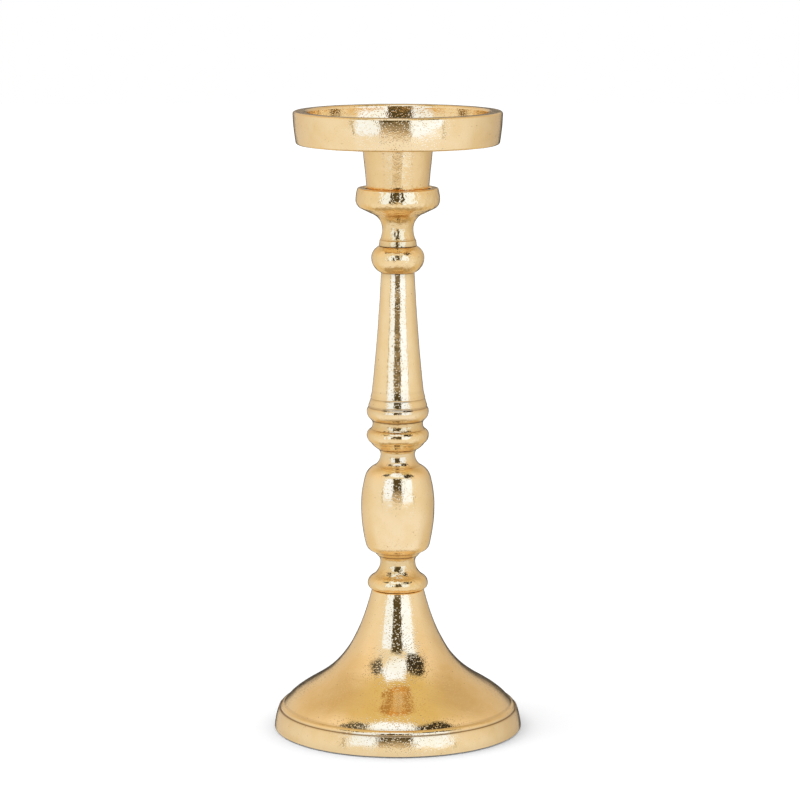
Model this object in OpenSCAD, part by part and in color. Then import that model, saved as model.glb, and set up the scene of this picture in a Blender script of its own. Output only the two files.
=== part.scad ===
// Pillar candle holder: turned castings stacked on one tie rod.
// Sizes are in mm. The table is z = 0 and the stem stands along +Z.

/* [Foot] */
// Diameter of the foot at its underside
foot_d = 110.3; // [98:0.1:124]
// Height of the foot casting from its underside to its crown
foot_h = 62.2; // [54:0.1:70]
// Height of the band around the bottom of the foot
band_h = 8.6; // [6:0.1:11]
// How far the band leans in towards its top, on the radius
band_lean = 1.75; // [0.5:0.05:3]
// How far the leaning band swells outwards at mid height
band_swell = 0.3; // [0.1:0.05:0.8]
// Rounding of the top edge of the band
band_edge = 0.4; // [0.2:0.1:1.5]
// Width of the seam line between the band and the lip of the bell
seam_w = 0.4; // [0.2:0.05:0.8]
// Depth of that seam line
seam_depth = 0.3; // [0.1:0.05:0.5]
// Width of the rounded lip at the foot of the bell
lip_w = 1.8; // [0.8:0.1:3]
// Height of the lip above the band
lip_h = 1.9; // [1:0.1:4]
// Swell of the rounded lip
lip_swell = 0.5; // [0.1:0.05:0.8]
// Slope of the bell where it leaves the lip, in degrees from level
lip_slope = 53; // [46:1:62]
// Length over which the lip keeps that slope
lip_reach = 17.2; // [13:0.1:20]
// Slope of the bell where it meets the crown, in degrees from level
crown_slope = 75.7; // [72:0.1:80]
// Length over which the crown keeps that slope
crown_reach = 44; // [36:0.1:46]
// Rounding of the edge of the crown
crown_edge = 1; // [0.3:0.1:1.5]
// Thickness of the crown that the tie rod clamps
crown_web = 12.6; // [8:0.1:16]
// Wall of the hollow bell
bell_wall = 4; // [3:0.1:5]

/* [Felt ring] */
// Thickness of the felt
felt_t = 1.2; // [0.8:0.1:2]
// How far the felt stands out below the foot
felt_proud = 0.6; // [0.3:0.1:0.8]
// Width of the felt ring
felt_w = 5; // [4:0.1:5.5]
// Distance from the edge of the foot to the felt
felt_inset = 1.8; // [1:0.1:2.4]

/* [Lower knop] */
// Height of the lower knop between its two joints
lower_knop_h = 15.3; // [14:0.1:19]
// Diameter of the joint between the crown and the lower knop
crown_d = 21.6; // [20.4:0.1:24]
// Diameter of its ring
lower_ring_d = 26.8; // [25:0.1:30]
// Height of the widest line of its ring
lower_ring_at = 2.8; // [2.2:0.1:4]
// How far the radius falls before the ring turns into the neck
lower_ring_fall = 1.7; // [0.8:0.1:2]
// Height at which the ring turns into the neck
lower_ring_h = 6; // [5:0.1:7.5]
// Diameter of the neck
lower_neck_d = 15.6; // [14:0.1:17]
// How far the narrowest line of the neck lies below the top joint
lower_neck_drop = 2.6; // [1.5:0.1:4]
// How far the neck flares out again on the radius up to the joint
lower_neck_flare = 1.3; // [0.6:0.1:2.4]

/* [Barrel] */
// Height of the barrel between its two joints
barrel_h = 47.8; // [38:0.1:58]
// Diameter at the widest line of the belly
barrel_d = 32.6; // [30:0.1:37]
// Height of the widest line of the belly, as a share of the barrel
belly_share = 0.466; // [0.36:0.001:0.56]
// How far the belly falls in on the radius down to the heel
heel_fall = 2; // [1.5:0.05:3]
// Where the underside turns up, as a share of the way out to the heel
heel_low_share = 0.288; // [0.15:0.001:0.5]
// Height at which the underside turns up into the heel
heel_low_at = 1.7; // [1:0.1:2.2]
// Height at which the rounded heel runs into the belly
heel_h = 5.6; // [4.5:0.1:7]
// Swell of the rounded heel
heel_swell = 0.85; // [0.5:0.05:1.2]
// How far the belly falls in on the radius up to the shoulder
shoulder_fall = 1.7; // [1:0.05:2.2]
// How far below the top joint the belly turns over into the shoulder
shoulder_drop = 12.3; // [10.5:0.1:14]
// Swell of the rounded shoulder
shoulder_swell = 0.8; // [0.4:0.1:1.2]
// Where the shoulder turns into the neck, as a share of the way out to the shoulder
shoulder_neck_share = 0.347; // [0.2:0.001:0.55]
// How far below the top joint the shoulder turns into the neck
shoulder_neck_drop = 7.1; // [5:0.1:8.5]
// Diameter of the neck above the shoulder
barrel_neck_d = 15.3; // [14:0.1:16.6]
// How far the narrowest line of that neck lies below the top joint
barrel_neck_drop = 2.3; // [1:0.1:3]
// How far that neck flares out again on the radius up to the joint
barrel_neck_flare = 1.05; // [0.4:0.05:1.4]

/* [Ring knop] */
// Height of the ring knop between its two joints
ring_knop_h = 13; // [11.5:0.1:15]
// Diameter of the fillet under the ring
ring_fillet_d = 24; // [21:0.1:25.6]
// Height of the fillet under the ring
ring_fillet_h = 3; // [2:0.1:4]
// Swell of that fillet
ring_fillet_swell = 0.25; // [0.1:0.05:0.5]
// Diameter of the ring
ring_d = 27.6; // [26:0.1:31]
// Height of the widest line of the ring, as a share of the knop
ring_share = 0.49; // [0.45:0.001:0.54]
// How far the radius falls before the ring turns into its neck
ring_fall = 1.8; // [1:0.1:2.6]
// How far below the top joint the ring turns into its neck
ring_turn_drop = 3.8; // [2.8:0.1:4.6]
// Diameter of the neck above the ring
ring_neck_d = 22.4; // [21:0.1:23.2]
// How far the narrowest line of that neck lies below the top joint
ring_neck_drop = 1.6; // [0.8:0.1:2.4]

/* [Column] */
// Height of the column between its two joints
column_h = 65.6; // [55:0.1:90]
// Diameter of the joint between the ring knop and the column
column_foot_d = 23.3; // [22.8:0.1:25]
// Diameter of the ring at the foot of the column
column_ring_d = 27.5; // [26.6:0.1:30]
// Height of the widest line of that ring
column_ring_at = 4.2; // [3.6:0.1:4.8]
// Height of the rounded part of the ring below its widest line
column_tip_h = 2.8; // [2:0.1:3.6]
// How far the radius falls over that rounded part
column_tip_fall = 0.8; // [0.5:0.05:1.4]
// Height at which the ring ends at a turned line
column_ring_h = 6.5; // [6:0.1:7.4]
// How far the radius falls from the ring to that line
column_ring_fall = 0.7; // [0.2:0.05:1]
// Diameter at the second turned line
column_step_d = 24.2; // [23.2:0.1:25.8]
// Height of the second turned line
column_step_h = 9.8; // [8.8:0.1:10.8]
// Diameter where the taper begins
column_root_d = 22.8; // [21:0.1:23.6]
// Height where the taper begins
column_root_at = 13.2; // [12:0.1:16]
// How far the flare below the taper is hollowed
column_flare = 0.05; // [0.02:0.01:0.3]
// Diameter at the top of the taper
column_top_d = 14.8; // [13.6:0.1:16]
// How far the taper is hollowed along its length
column_hollow = 0.39; // [0.1:0.01:0.9]
// Width of a turned line
line_w = 0.5; // [0.4:0.05:0.8]
// Depth of a turned line
line_depth = 0.2; // [0.15:0.05:0.4]

/* [Ball knop] */
// Height of the ball between its two joints
ball_h = 11.6; // [10:0.1:16]
// Diameter of the ball
ball_d = 23.4; // [20:0.1:26]
// Height of the widest line of the ball, as a share of the ball
ball_share = 0.543; // [0.4:0.001:0.6]
// Diameter of its flat lower end
ball_end_d = 15.6; // [14.4:0.1:17]
// Diameter of its flat upper end
ball_top_d = 16.6; // [14.4:0.1:18]

/* [Collar] */
// Height of the collar from its joint to its lip
collar_h = 25.5; // [24:0.1:30]
// Diameter of the flange at its foot
collar_foot_d = 16.8; // [15:0.1:18]
// Height of that flange
collar_foot_h = 2.5; // [1.5:0.1:3.5]
// How far that flange falls in on the radius up to its top edge
collar_foot_fall = 0.3; // [0.1:0.05:0.6]
// Depth of the step above the flange, on the radius and in height
collar_step = 0.3; // [0.15:0.05:0.5]
// Diameter of its neck
collar_neck_d = 13.8; // [12.8:0.1:14.6]
// Height of the narrowest line of the neck
collar_neck_at = 7.5; // [6.2:0.1:8.5]
// Where the flare of the neck ends, as a share of the way out to the bowl's lower edge
collar_flare_share = 0.508; // [0.45:0.001:0.75]
// How far below the lip the flare of the neck ends
collar_flare_drop = 11.2; // [10:0.1:12]
// How far the lower edge of the bowl lies inside its widest line, on the radius
bowl_tuck = 1.85; // [1:0.05:2.6]
// How far below the lip that lower edge lies
bowl_edge_drop = 8.8; // [7.4:0.1:9.6]
// Wall between the well and the widest line of the bowl
bowl_wall = 4.15; // [3.4:0.05:5.6]
// How far below the lip the widest line of the bowl lies
bowl_drop = 5.3; // [4:0.1:6.4]
// How far the bowl falls in on the radius up to its lip
collar_lip_fall = 0.7; // [0.5:0.1:1.6]
// Rounding of the lip
collar_lip_edge = 0.7; // [0.3:0.1:1]

/* [Candle cup] */
// Depth of the well in the collar that holds the cup
well_h = 4.1; // [2.5:0.1:5]
// Free gap between the wall of the well and the foot of the cup
well_gap = 1.1; // [0.6:0.1:1.6]
// Height of the cup
cup_h = 23.1; // [20:0.1:27]
// Diameter at the foot of the cup
cup_foot_d = 26.6; // [24.5:0.1:28]
// How far the cup opens on the radius up to its mouth
cup_flare = 2.3; // [1:0.1:5]
// Wall of the cup at its foot
cup_wall = 2.1; // [1.5:0.1:3]
// Thickness of the floor of the cup
cup_floor = 5.4; // [4:0.1:7]

/* [Dish] */
// Inside diameter of the dish at its rim, for the candle
dish_bore_d = 79.8; // [60:0.2:100]
// How far the inside of the wall leans in down to the floor
dish_draft = 0.9; // [0.3:0.1:2]
// Wall of the dish at its rim
dish_wall = 5.9; // [4.5:0.1:8]
// How far the outside of the wall leans in down to the underside
dish_lean = 1.2; // [0.4:0.1:3]
// How far the outside of the wall bows out at mid height
dish_swell = 0.2; // [0.05:0.05:0.6]
// Height of the dish
dish_h = 14.4; // [12:0.1:22]
// Thickness of the floor of the dish
dish_floor = 4; // [3:0.1:6]
// Rounding of the rim
rim_edge = 1.1; // [0.6:0.1:2]
// Rounding of the lower edge
dish_edge = 1.2; // [0.5:0.1:2]
// Hollow rounding between the floor and the wall
dish_fillet = 1.5; // [0.5:0.1:3]
// Length of the plug under the dish
plug_h = 12; // [9:0.1:14]
// Free gap around the plug in the cup
plug_gap = 0.2; // [0.05:0.05:0.4]

/* [Rod and fasteners] */
// Diameter of the threaded tie rod
rod_d = 6; // [5:0.1:6.4]
// Free gap around the rod in the castings
rod_gap = 0.3; // [0.1:0.05:0.5]
// Length of thread between the end of the plug and the bottom of its hole
thread_depth = 13.4; // [8:0.1:14]
// Length of the rod left showing below the nut
rod_tail = 3; // [1:0.5:8]
// Chamfer at the ends of the rod
rod_chamfer = 0.6; // [0.3:0.1:1]
// Diameter of the spigot that centres each casting on the one below
spigot_d = 10; // [9:0.1:10.6]
// Height of that spigot
spigot_h = 2; // [1:0.1:2.6]
// Free gap around and below a spigot
spigot_gap = 0.15; // [0.05:0.05:0.3]
// Diameter of the flat washer
washer_d = 18; // [14:0.5:20]
// Thickness of the flat washer
washer_t = 1.6; // [1:0.1:2]
// Width of the spring washer's section
spring_w = 2.2; // [1.5:0.1:2.5]
// Thickness of the spring washer
spring_t = 1.6; // [1:0.1:2]
// Width of the split in the spring washer
spring_split = 0.8; // [0.4:0.1:1.5]
// Width of the nut across its flats
nut_flats = 10; // [9:0.5:12]
// Height of the nut
nut_h = 5; // [4:0.1:6]

/* [Hidden] */
$fn = 128;
// Points on each half of a turned arc, and on the curve of the bell
arc_steps = 8;
bell_steps = 36;
// Rise of a quarter round above its chord, per radius
quarter = 1 - cos(45);

gold = [0.83, 0.66, 0.37];
steel = [0.70, 0.70, 0.71];
felt = [0.10, 0.09, 0.08];

// Heights of the joints, each on top of the piece below
foot_z = felt_proud;
lower_knop_z = foot_z + foot_h;
barrel_z = lower_knop_z + lower_knop_h;
ring_knop_z = barrel_z + barrel_h;
column_z = ring_knop_z + ring_knop_h;
ball_z = column_z + column_h;
collar_z = ball_z + ball_h;
cup_z = collar_z + collar_h - well_h;
dish_z = cup_z + cup_h;

// Radii shared along the rod
rod_r = rod_d / 2;
bore_r = rod_r + rod_gap;
spigot_r = spigot_d / 2;
socket_r = spigot_r + spigot_gap;
socket_h = spigot_h + spigot_gap;
cup_socket_r = cup_foot_d / 2 - cup_wall;
plug_r = cup_socket_r - plug_gap;
well_r = cup_foot_d / 2 + well_gap;

// Radii where the stem castings meet
barrel_foot_r = lower_neck_d / 2 + lower_neck_flare;
ring_foot_r = barrel_neck_d / 2 + barrel_neck_flare;

// Levels of the clamp under the crown
crown_z = foot_z + foot_h - crown_web;
washer_z = crown_z - washer_t;
spring_z = washer_z - spring_t;
nut_z = spring_z - nut_h;
rod_low_z = nut_z - rod_tail;
rod_top_z = dish_z - plug_h + thread_depth - rod_chamfer;

// Bell of the foot, from its lip up to its crown
foot_r = foot_d / 2;
band_top_r = foot_r - band_lean;
lip_r = band_top_r - band_edge - seam_w - lip_w;
lip_z = band_h + lip_h;
lip_point = [lip_r, lip_z];
crown_top = [crown_d / 2, foot_h];
crown_point = crown_top + [crown_edge, -crown_edge];
bell = bezier(
  lip_point,
  lip_point + lip_reach * [-cos(lip_slope), sin(lip_slope)],
  crown_point + crown_reach * [cos(crown_slope), -sin(crown_slope)],
  crown_point
);
hollow = inset(bell, bell_wall);
hollow_r = hollow[0][0];
ceiling = foot_h - crown_web;

// Felt ring and the recess it is glued into
felt_out_r = foot_r - felt_inset;
felt_in_r = felt_out_r - felt_w;
recess_h = felt_t - felt_proud;
recess_gap = 0.1;

// Value a share of the way from a to b.
function between(a, b, share) = a + (b - a) * share;

// Same points in the opposite order.
function flip(pts) = [for (i = [len(pts) - 1:-1:0]) pts[i]];

// Points without repeats, for a closed outline.
function tidy(pts) = [
  for (i = [0:len(pts) - 1])
    if (norm(pts[i] - pts[(i + 1) % len(pts)]) > 0.001)
      pts[i]
];

// Arc from a to b that bows outwards by rise, or inwards where rise is negative.
function bow(a, b, rise) =
  let (
    along = (b - a) / norm(b - a),
    out = [along[1], -along[0]],
    half = norm(b - a) / 2,
    rad = (half * half + rise * rise) / (2 * rise),
    centre = (a + b) / 2 + (rise - rad) * out,
    sweep = asin(half / rad)
  )
  [
    for (i = [-arc_steps:arc_steps])
      let (t = sweep * i / arc_steps)
        centre + rad * cos(t) * out + rad * sin(t) * along
  ];

// Arc from an end point to a peak, where it stands upright.
function upright(end, peak) =
  let (
    dr = peak[0] - end[0],
    dz = end[1] - peak[1],
    rad = (dr * dr + dz * dz) / (2 * dr),
    sweep = 2 * atan(dr / dz)
  )
  [
    for (i = [arc_steps:-1:0])
      let (t = sweep * i / arc_steps)
        [peak[0] - rad * (1 - cos(t)), peak[1] + rad * sin(t)]
  ];

// Quarter round that turns an outline inwards over the top of an edge.
function round_over(a, rad) = bow(a, a + [-rad, rad], quarter * rad);

// Quarter round that turns an outline down into a well, ending at b.
function round_under(b, rad) = bow(b + [rad, rad], b, quarter * rad);

// Ring or neck: two arcs that meet upright at the widest or narrowest point.
function swell(a, peak, b) = concat(upright(a, peak), flip(upright(b, peak)));

// Cubic curve with two end points and two handles.
function bezier(a, b, c, d) = [
  for (i = [0:bell_steps])
    let (t = i / bell_steps, u = 1 - t)
      u * u * u * a + 3 * u * u * t * b + 3 * u * t * t * c + t * t * t * d
];

// Curve moved inwards by a wall.
function inset(pts, wall) = [
  for (i = [0:len(pts) - 1])
    let (step = pts[min(i + 1, len(pts) - 1)] - pts[max(i - 1, 0)])
      pts[i] - wall * [step[1], -step[0]] / norm(step)
];

// Radius of a rising curve at a height.
function radius_at(pts, z) = lookup(z, [for (p = pts) [p[1], p[0]]]);

// Turned line across an outline at a point.
function turned_line(r, z) = [
  [r, z - line_w / 2],
  [r - line_depth, z],
  [r, z + line_w / 2]
];

// Inside of a stem casting, from the joint at its top to the spigot at its foot.
function core(top) = [
  [socket_r, top],
  [socket_r, top - socket_h],
  [bore_r, top - socket_h],
  [bore_r, -spigot_h],
  [spigot_r, -spigot_h],
  [spigot_r, 0]
];

// One casting turned about the rod and set at its height.
module casting(z, outline) {
  color(gold)
    translate([0, 0, z])
      rotate_extrude()
        polygon(tidy(outline));
}

// Plain steel ring.
module ring(z, outer_r, inner_r, height) {
  translate([0, 0, z])
    difference() {
      cylinder(r = outer_r, h = height);
      translate([0, 0, -1])
        cylinder(r = inner_r, h = height + 2);
    }
}

// Hollow bell with a band at its edge, a thick crown and a recess for the felt.
module foot() {
  band_top = [band_top_r, band_h - band_edge];
  seam_end = [band_top_r - band_edge - seam_w, band_h];
  outside = concat(
    bow([foot_r, 0], band_top, band_swell),
    round_over(band_top, band_edge),
    [seam_end + [seam_w / 2, -seam_depth]],
    bow(seam_end, lip_point, lip_swell),
    bell,
    round_over(crown_point, crown_edge)
  );
  joint = [
    [socket_r, foot_h],
    [socket_r, foot_h - socket_h],
    [bore_r, foot_h - socket_h],
    [bore_r, ceiling],
    [radius_at(hollow, ceiling), ceiling]
  ];
  inside = flip([for (p = hollow) if (p[1] < ceiling - 0.3) p]);
  recess = [
    [hollow_r, 0],
    [felt_in_r - recess_gap, 0],
    [felt_in_r - recess_gap, recess_h],
    [felt_out_r + recess_gap, recess_h],
    [felt_out_r + recess_gap, 0]
  ];
  casting(foot_z, concat(outside, joint, inside, recess));
}

// Felt glued under the foot, which it stands on.
module felt_ring() {
  color(felt)
    ring(0, felt_out_r, felt_in_r, felt_t);
}

// Ring on the crown with a waisted neck above it.
module lower_knop() {
  edge = [lower_ring_d / 2 - lower_ring_fall, lower_ring_h];
  base = swell([crown_d / 2, 0], [lower_ring_d / 2, lower_ring_at], edge);
  waist = [lower_neck_d / 2, lower_knop_h - lower_neck_drop];
  neck = swell(edge, waist, [barrel_foot_r, lower_knop_h]);
  casting(lower_knop_z, concat(base, neck, core(lower_knop_h)));
}

// Long belly with a rounded heel, a shoulder and a neck.
module barrel() {
  belly_r = barrel_d / 2;
  neck_r = barrel_neck_d / 2;
  heel = [belly_r - heel_fall, heel_h];
  heel_low = [between(barrel_foot_r, heel[0], heel_low_share), heel_low_at];
  shoulder = [belly_r - shoulder_fall, barrel_h - shoulder_drop];
  turn = [
    between(neck_r, shoulder[0], shoulder_neck_share),
    barrel_h - shoulder_neck_drop
  ];
  waist = [neck_r, barrel_h - barrel_neck_drop];
  neck = swell(turn, waist, [ring_foot_r, barrel_h]);
  outline = concat(
    [[barrel_foot_r, 0]],
    bow(heel_low, heel, heel_swell),
    swell(heel, [belly_r, belly_share * barrel_h], shoulder),
    bow(shoulder, turn, shoulder_swell),
    neck
  );
  casting(barrel_z, concat(outline, core(barrel_h)));
}

// Rounded ring on a small fillet, with a hollow neck above it.
module ring_knop() {
  fillet = [ring_fillet_d / 2, ring_fillet_h];
  turn = [ring_d / 2 - ring_fall, ring_knop_h - ring_turn_drop];
  waist = [ring_neck_d / 2, ring_knop_h - ring_neck_drop];
  outline = concat(
    bow([ring_foot_r, 0], fillet, ring_fillet_swell),
    swell(fillet, [ring_d / 2, ring_share * ring_knop_h], turn),
    swell(turn, waist, [column_foot_d / 2, ring_knop_h])
  );
  casting(ring_knop_z, concat(outline, core(ring_knop_h)));
}

// Tapered column that grows out of a ring with two turned lines.
module column() {
  peak = [column_ring_d / 2, column_ring_at];
  ring_end = peak + [-column_ring_fall, column_ring_h - column_ring_at];
  step_end = [column_step_d / 2, column_step_h];
  root = [column_root_d / 2, column_root_at];
  outline = concat(
    [[column_foot_d / 2, 0]],
    swell(peak - [column_tip_fall, column_tip_h], peak, ring_end - [0, line_w]),
    turned_line(ring_end[0], ring_end[1]),
    turned_line(step_end[0], step_end[1]),
    bow(step_end + [0, line_w], root, -column_flare),
    bow(root, [column_top_d / 2, column_h], -column_hollow)
  );
  casting(column_z, concat(outline, core(column_h)));
}

// Flattened ball.
module ball_knop() {
  outline = swell(
    [ball_end_d / 2, 0],
    [ball_d / 2, ball_share * ball_h],
    [ball_top_d / 2, ball_h]
  );
  casting(ball_z, concat(outline, core(ball_h)));
}

// Flanged neck that opens into a shallow bowl with a well for the cup.
module collar() {
  foot_top = [collar_foot_d / 2 - collar_foot_fall, collar_foot_h];
  neck_r = collar_neck_d / 2;
  bowl = [well_r + bowl_wall, collar_h - bowl_drop];
  edge = [bowl[0] - bowl_tuck, collar_h - bowl_edge_drop];
  flare = [between(neck_r, edge[0], collar_flare_share), collar_h - collar_flare_drop];
  lip_out = [bowl[0] - collar_lip_fall, collar_h - collar_lip_edge];
  well_top = [well_r, collar_h - collar_lip_edge];
  floor_z = collar_h - well_h;
  outline = concat(
    [[collar_foot_d / 2, 0], foot_top],
    swell(foot_top + collar_step * [-1, 1], [neck_r, collar_neck_at], flare),
    swell(edge, bowl, lip_out),
    round_over(lip_out, collar_lip_edge),
    round_under(well_top, collar_lip_edge),
    [[well_r, floor_z]]
  );
  casting(collar_z, concat(outline, core(floor_z)));
}

// Tapered cup that stands in the well and takes the plug of the dish.
module candle_cup() {
  foot_edge_r = cup_foot_d / 2;
  outline = [
    [foot_edge_r, 0],
    [foot_edge_r + cup_flare, cup_h],
    [cup_socket_r, cup_h],
    [cup_socket_r, cup_floor],
    [bore_r, cup_floor],
    [bore_r, -spigot_h],
    [spigot_r, -spigot_h],
    [spigot_r, 0]
  ];
  casting(cup_z, outline);
}

// Flat-floored dish with an upright wall and a tapped plug below it.
module dish() {
  well_wall_r = dish_bore_d / 2;
  rim_r = well_wall_r + dish_wall;
  foot_edge_r = rim_r - dish_lean;
  rim_z = dish_h - rim_edge;
  fillet_top = [well_wall_r - dish_draft, dish_floor + dish_fillet];
  thread_end = thread_depth - plug_h;
  outline = concat(
    [[rod_r, -plug_h], [plug_r, -plug_h], [plug_r, 0]],
    bow([foot_edge_r - dish_edge, 0], [foot_edge_r, dish_edge], quarter * dish_edge),
    bow([foot_edge_r, dish_edge], [rim_r, rim_z], dish_swell),
    round_over([rim_r, rim_z], rim_edge),
    round_under([well_wall_r, rim_z], rim_edge),
    bow(fillet_top, fillet_top - [dish_fillet, dish_fillet], -quarter * dish_fillet),
    [[0, dish_floor], [0, thread_end], [rod_r, thread_end]]
  );
  casting(dish_z, outline);
}

// Threaded rod that clamps the whole stack between the dish and the crown.
module tie_rod() {
  color(steel)
    rotate_extrude()
      polygon([
        [0, rod_low_z],
        [rod_r - rod_chamfer, rod_low_z],
        [rod_r, rod_low_z + rod_chamfer],
        [rod_r, rod_top_z - rod_chamfer],
        [rod_r - rod_chamfer, rod_top_z],
        [0, rod_top_z]
      ]);
}

// Flat washer under the crown.
module crown_washer() {
  color(steel)
    ring(washer_z, washer_d / 2, bore_r, washer_t);
}

// Split spring washer between the flat washer and the nut.
module spring_washer() {
  color(steel)
    difference() {
      ring(spring_z, bore_r + spring_w, bore_r, spring_t);
      translate([0, -spring_split / 2, spring_z - 1])
        rotate([20, 0, 0])
          cube([washer_d, spring_split, 4 * spring_t]);
    }
}

// Hexagon nut with chamfered corners.
module rod_nut() {
  corner_r = nut_flats / 2 / cos(30);
  slope = (corner_r - nut_flats / 2) * tan(30);
  color(steel)
    translate([0, 0, nut_z])
      intersection() {
        linear_extrude(nut_h)
          circle(r = corner_r, $fn = 6);
        rotate_extrude()
          polygon([
            [rod_r, 0],
            [nut_flats / 2, 0],
            [corner_r + 1, slope + tan(30)],
            [corner_r + 1, nut_h - slope - tan(30)],
            [nut_flats / 2, nut_h],
            [rod_r, nut_h]
          ]);
      }
}

foot();
felt_ring();
lower_knop();
barrel();
ring_knop();
column();
ball_knop();
collar();
candle_cup();
dish();
tie_rod();
crown_washer();
spring_washer();
rod_nut();
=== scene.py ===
"""Pillar candle holder: turned castings in polished cast gold, on a white studio floor."""

import logging
import math
from collections.abc import Callable
from dataclasses import dataclass, field, replace
from enum import Enum

import bpy
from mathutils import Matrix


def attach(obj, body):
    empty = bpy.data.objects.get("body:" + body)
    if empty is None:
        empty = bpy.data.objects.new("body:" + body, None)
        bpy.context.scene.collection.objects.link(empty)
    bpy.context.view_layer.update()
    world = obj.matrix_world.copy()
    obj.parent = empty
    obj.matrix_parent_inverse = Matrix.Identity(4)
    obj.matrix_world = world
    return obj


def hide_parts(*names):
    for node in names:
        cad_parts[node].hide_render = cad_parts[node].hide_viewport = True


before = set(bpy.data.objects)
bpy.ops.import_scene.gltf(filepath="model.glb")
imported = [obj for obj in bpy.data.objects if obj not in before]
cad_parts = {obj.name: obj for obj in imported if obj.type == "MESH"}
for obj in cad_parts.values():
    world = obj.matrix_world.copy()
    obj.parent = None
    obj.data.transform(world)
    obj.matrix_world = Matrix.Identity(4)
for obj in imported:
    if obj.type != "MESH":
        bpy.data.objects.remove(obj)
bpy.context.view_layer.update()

MM = 0.001
BODY = "root"
# Shortest step of an outline, in mm, and the rise of a quarter round per mm of its radius.
TINY = 1e-4
QUARTER_ROUND = 0.293
# A ray's diffuse depth below this has met no matt surface yet.
FIRST_BOUNCE = 0.5
# Directions in degrees that lie past every way round and past straight up.
ALL_ROUND = 400.0
PAST_POLE = 120.0
WHITE = (1.0, 1.0, 1.0, 1.0)
BLACK = (0.0, 0.0, 0.0, 1.0)
log = logging.getLogger("candle_holder")

Point = tuple[float, float]
Place = tuple[float, float, float]
Colour = tuple[float, float, float]


class Skin(Enum):
    """How a stretch of a turned outline is finished, with its longest row in mm."""

    POLISHED = 0.8
    SCORED = 0.25
    SEAM = 0.45
    FLUSH = 0.75
    SATIN = 0.9
    RAW = 1.6
    THREADED = 0.1
    HIDDEN = 50.0

    @property
    def dirt_and_shade(self) -> float:
        """How much staining and painted shade a hollow corner beside this finish holds."""
        return {Skin.SCORED: 0.45, Skin.SEAM: 3.5, Skin.FLUSH: 0.0}.get(self, 1.0)


class Tint(Enum):
    """Colour of the light that a panel of the studio sends back."""

    ICE = (0.78, 1.0, 1.6)
    COOL = (0.97, 1.0, 1.12)
    PLAIN = (1.0, 1.0, 1.0)
    WARM = (1.0, 0.89, 0.76)
    GILT = (1.0, 0.86, 0.62)
    HONEY = (1.0, 0.80, 0.52)
    AMBER = (1.0, 0.83, 0.43)


class Slot(Enum):
    """Material slots of the record."""

    GOLD = "gold_casting"
    STEEL = "steel"
    FELT = "felt"


@dataclass
class Graph:
    """Adds nodes to a tree and links their sockets."""

    tree: bpy.types.NodeTree

    def feed(self, socket: bpy.types.NodeSocket, value: object) -> None:
        """Link a socket to another one, or set it to a plain value.

        Args:
            socket: Input that is fed.
            value: Output socket of a node, or a plain value.
        """
        if isinstance(value, bpy.types.NodeSocket):
            self.tree.links.new(value, socket)
        else:
            socket.default_value = value

    def add(
        self, kind: str, inputs: dict[str | int, object] | None = None, **settings: object
    ) -> bpy.types.Node:
        """Add one node.

        Args:
            kind: Blender's name for the type of node.
            inputs: Values or sockets for the node's inputs, by name or number.
            **settings: Properties of the node.

        Returns:
            The new node.
        """
        node = self.tree.nodes.new(kind)
        for name, value in settings.items():
            setattr(node, name, value)
        for key, value in (inputs or {}).items():
            self.feed(node.inputs[key], value)
        return node

    def math(self, operation: str, *values: object) -> bpy.types.NodeSocket:
        """Result of one math operation on numbers or sockets."""
        return self.add("ShaderNodeMath", dict(enumerate(values)), operation=operation).outputs[0]

    def product(self, *values: object) -> bpy.types.NodeSocket:
        """Product of several numbers or sockets.

        Args:
            *values: Numbers or sockets.

        Returns:
            The socket of the product.
        """
        total = values[0]
        for value in values[1:]:
            total = self.math("MULTIPLY", total, value)
        return total

    def mix(self, share: object, low: object, high: object) -> bpy.types.NodeSocket:
        """Number a share of the way from low to high."""
        node = self.add("ShaderNodeMix", {0: share, 2: low, 3: high}, data_type="FLOAT")
        return node.outputs[0]

    def blend(self, share: object, low: object, high: object) -> bpy.types.NodeSocket:
        """Colour a share of the way from low to high."""
        node = self.add("ShaderNodeMix", {0: share, 6: low, 7: high}, data_type="RGBA")
        return node.outputs[2]

    def span(
        self, value: object, low: object, high: object, start: float = 0.0, end: float = 1.0
    ) -> bpy.types.NodeSocket:
        """Smooth step of a value.

        Args:
            value: Number or socket that is stepped.
            low: Value at which the step starts.
            high: Value at which it ends.
            start: Result below the step.
            end: Result above the step.

        Returns:
            The stepped number.
        """
        inputs = {0: value, 1: low, 2: high, 3: start, 4: end}
        return self.add("ShaderNodeMapRange", inputs, interpolation_type="SMOOTHSTEP").outputs[0]

    def noise(
        self, place: object, size: float, detail: float = 2.0, rough: float = 0.5
    ) -> bpy.types.NodeSocket:
        """Noise between about 0 and 1.

        Args:
            place: Socket with the coordinates, in metres.
            size: Size of one lump, in mm.
            detail: Octaves of finer noise.
            rough: Strength of each finer octave.

        Returns:
            The socket of the noise.
        """
        inputs = {"Vector": place, "Scale": 1 / (size * MM), "Detail": detail, "Roughness": rough}
        return self.add("ShaderNodeTexNoise", inputs).outputs["Fac"]

    def pebbles(
        self, place: object, size: float, top: float = 0.05, ground: float = 0.42
    ) -> bpy.types.NodeSocket:
        """Round grains scattered on flat ground, 0 on the ground and 1 on their tops.

        Args:
            place: Socket with the coordinates, in metres.
            size: Distance from one grain to the next, in mm.
            top: Reach of a grain's flat top, as a share of that distance.
            ground: Reach of its foot, as a share of that distance.

        Returns:
            The socket of the height.
        """
        inputs = {"Vector": place, "Scale": 1 / (size * MM)}
        away = self.add("ShaderNodeTexVoronoi", inputs).outputs["Distance"]
        return self.span(away, top, ground, 1.0, 0.0)


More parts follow.
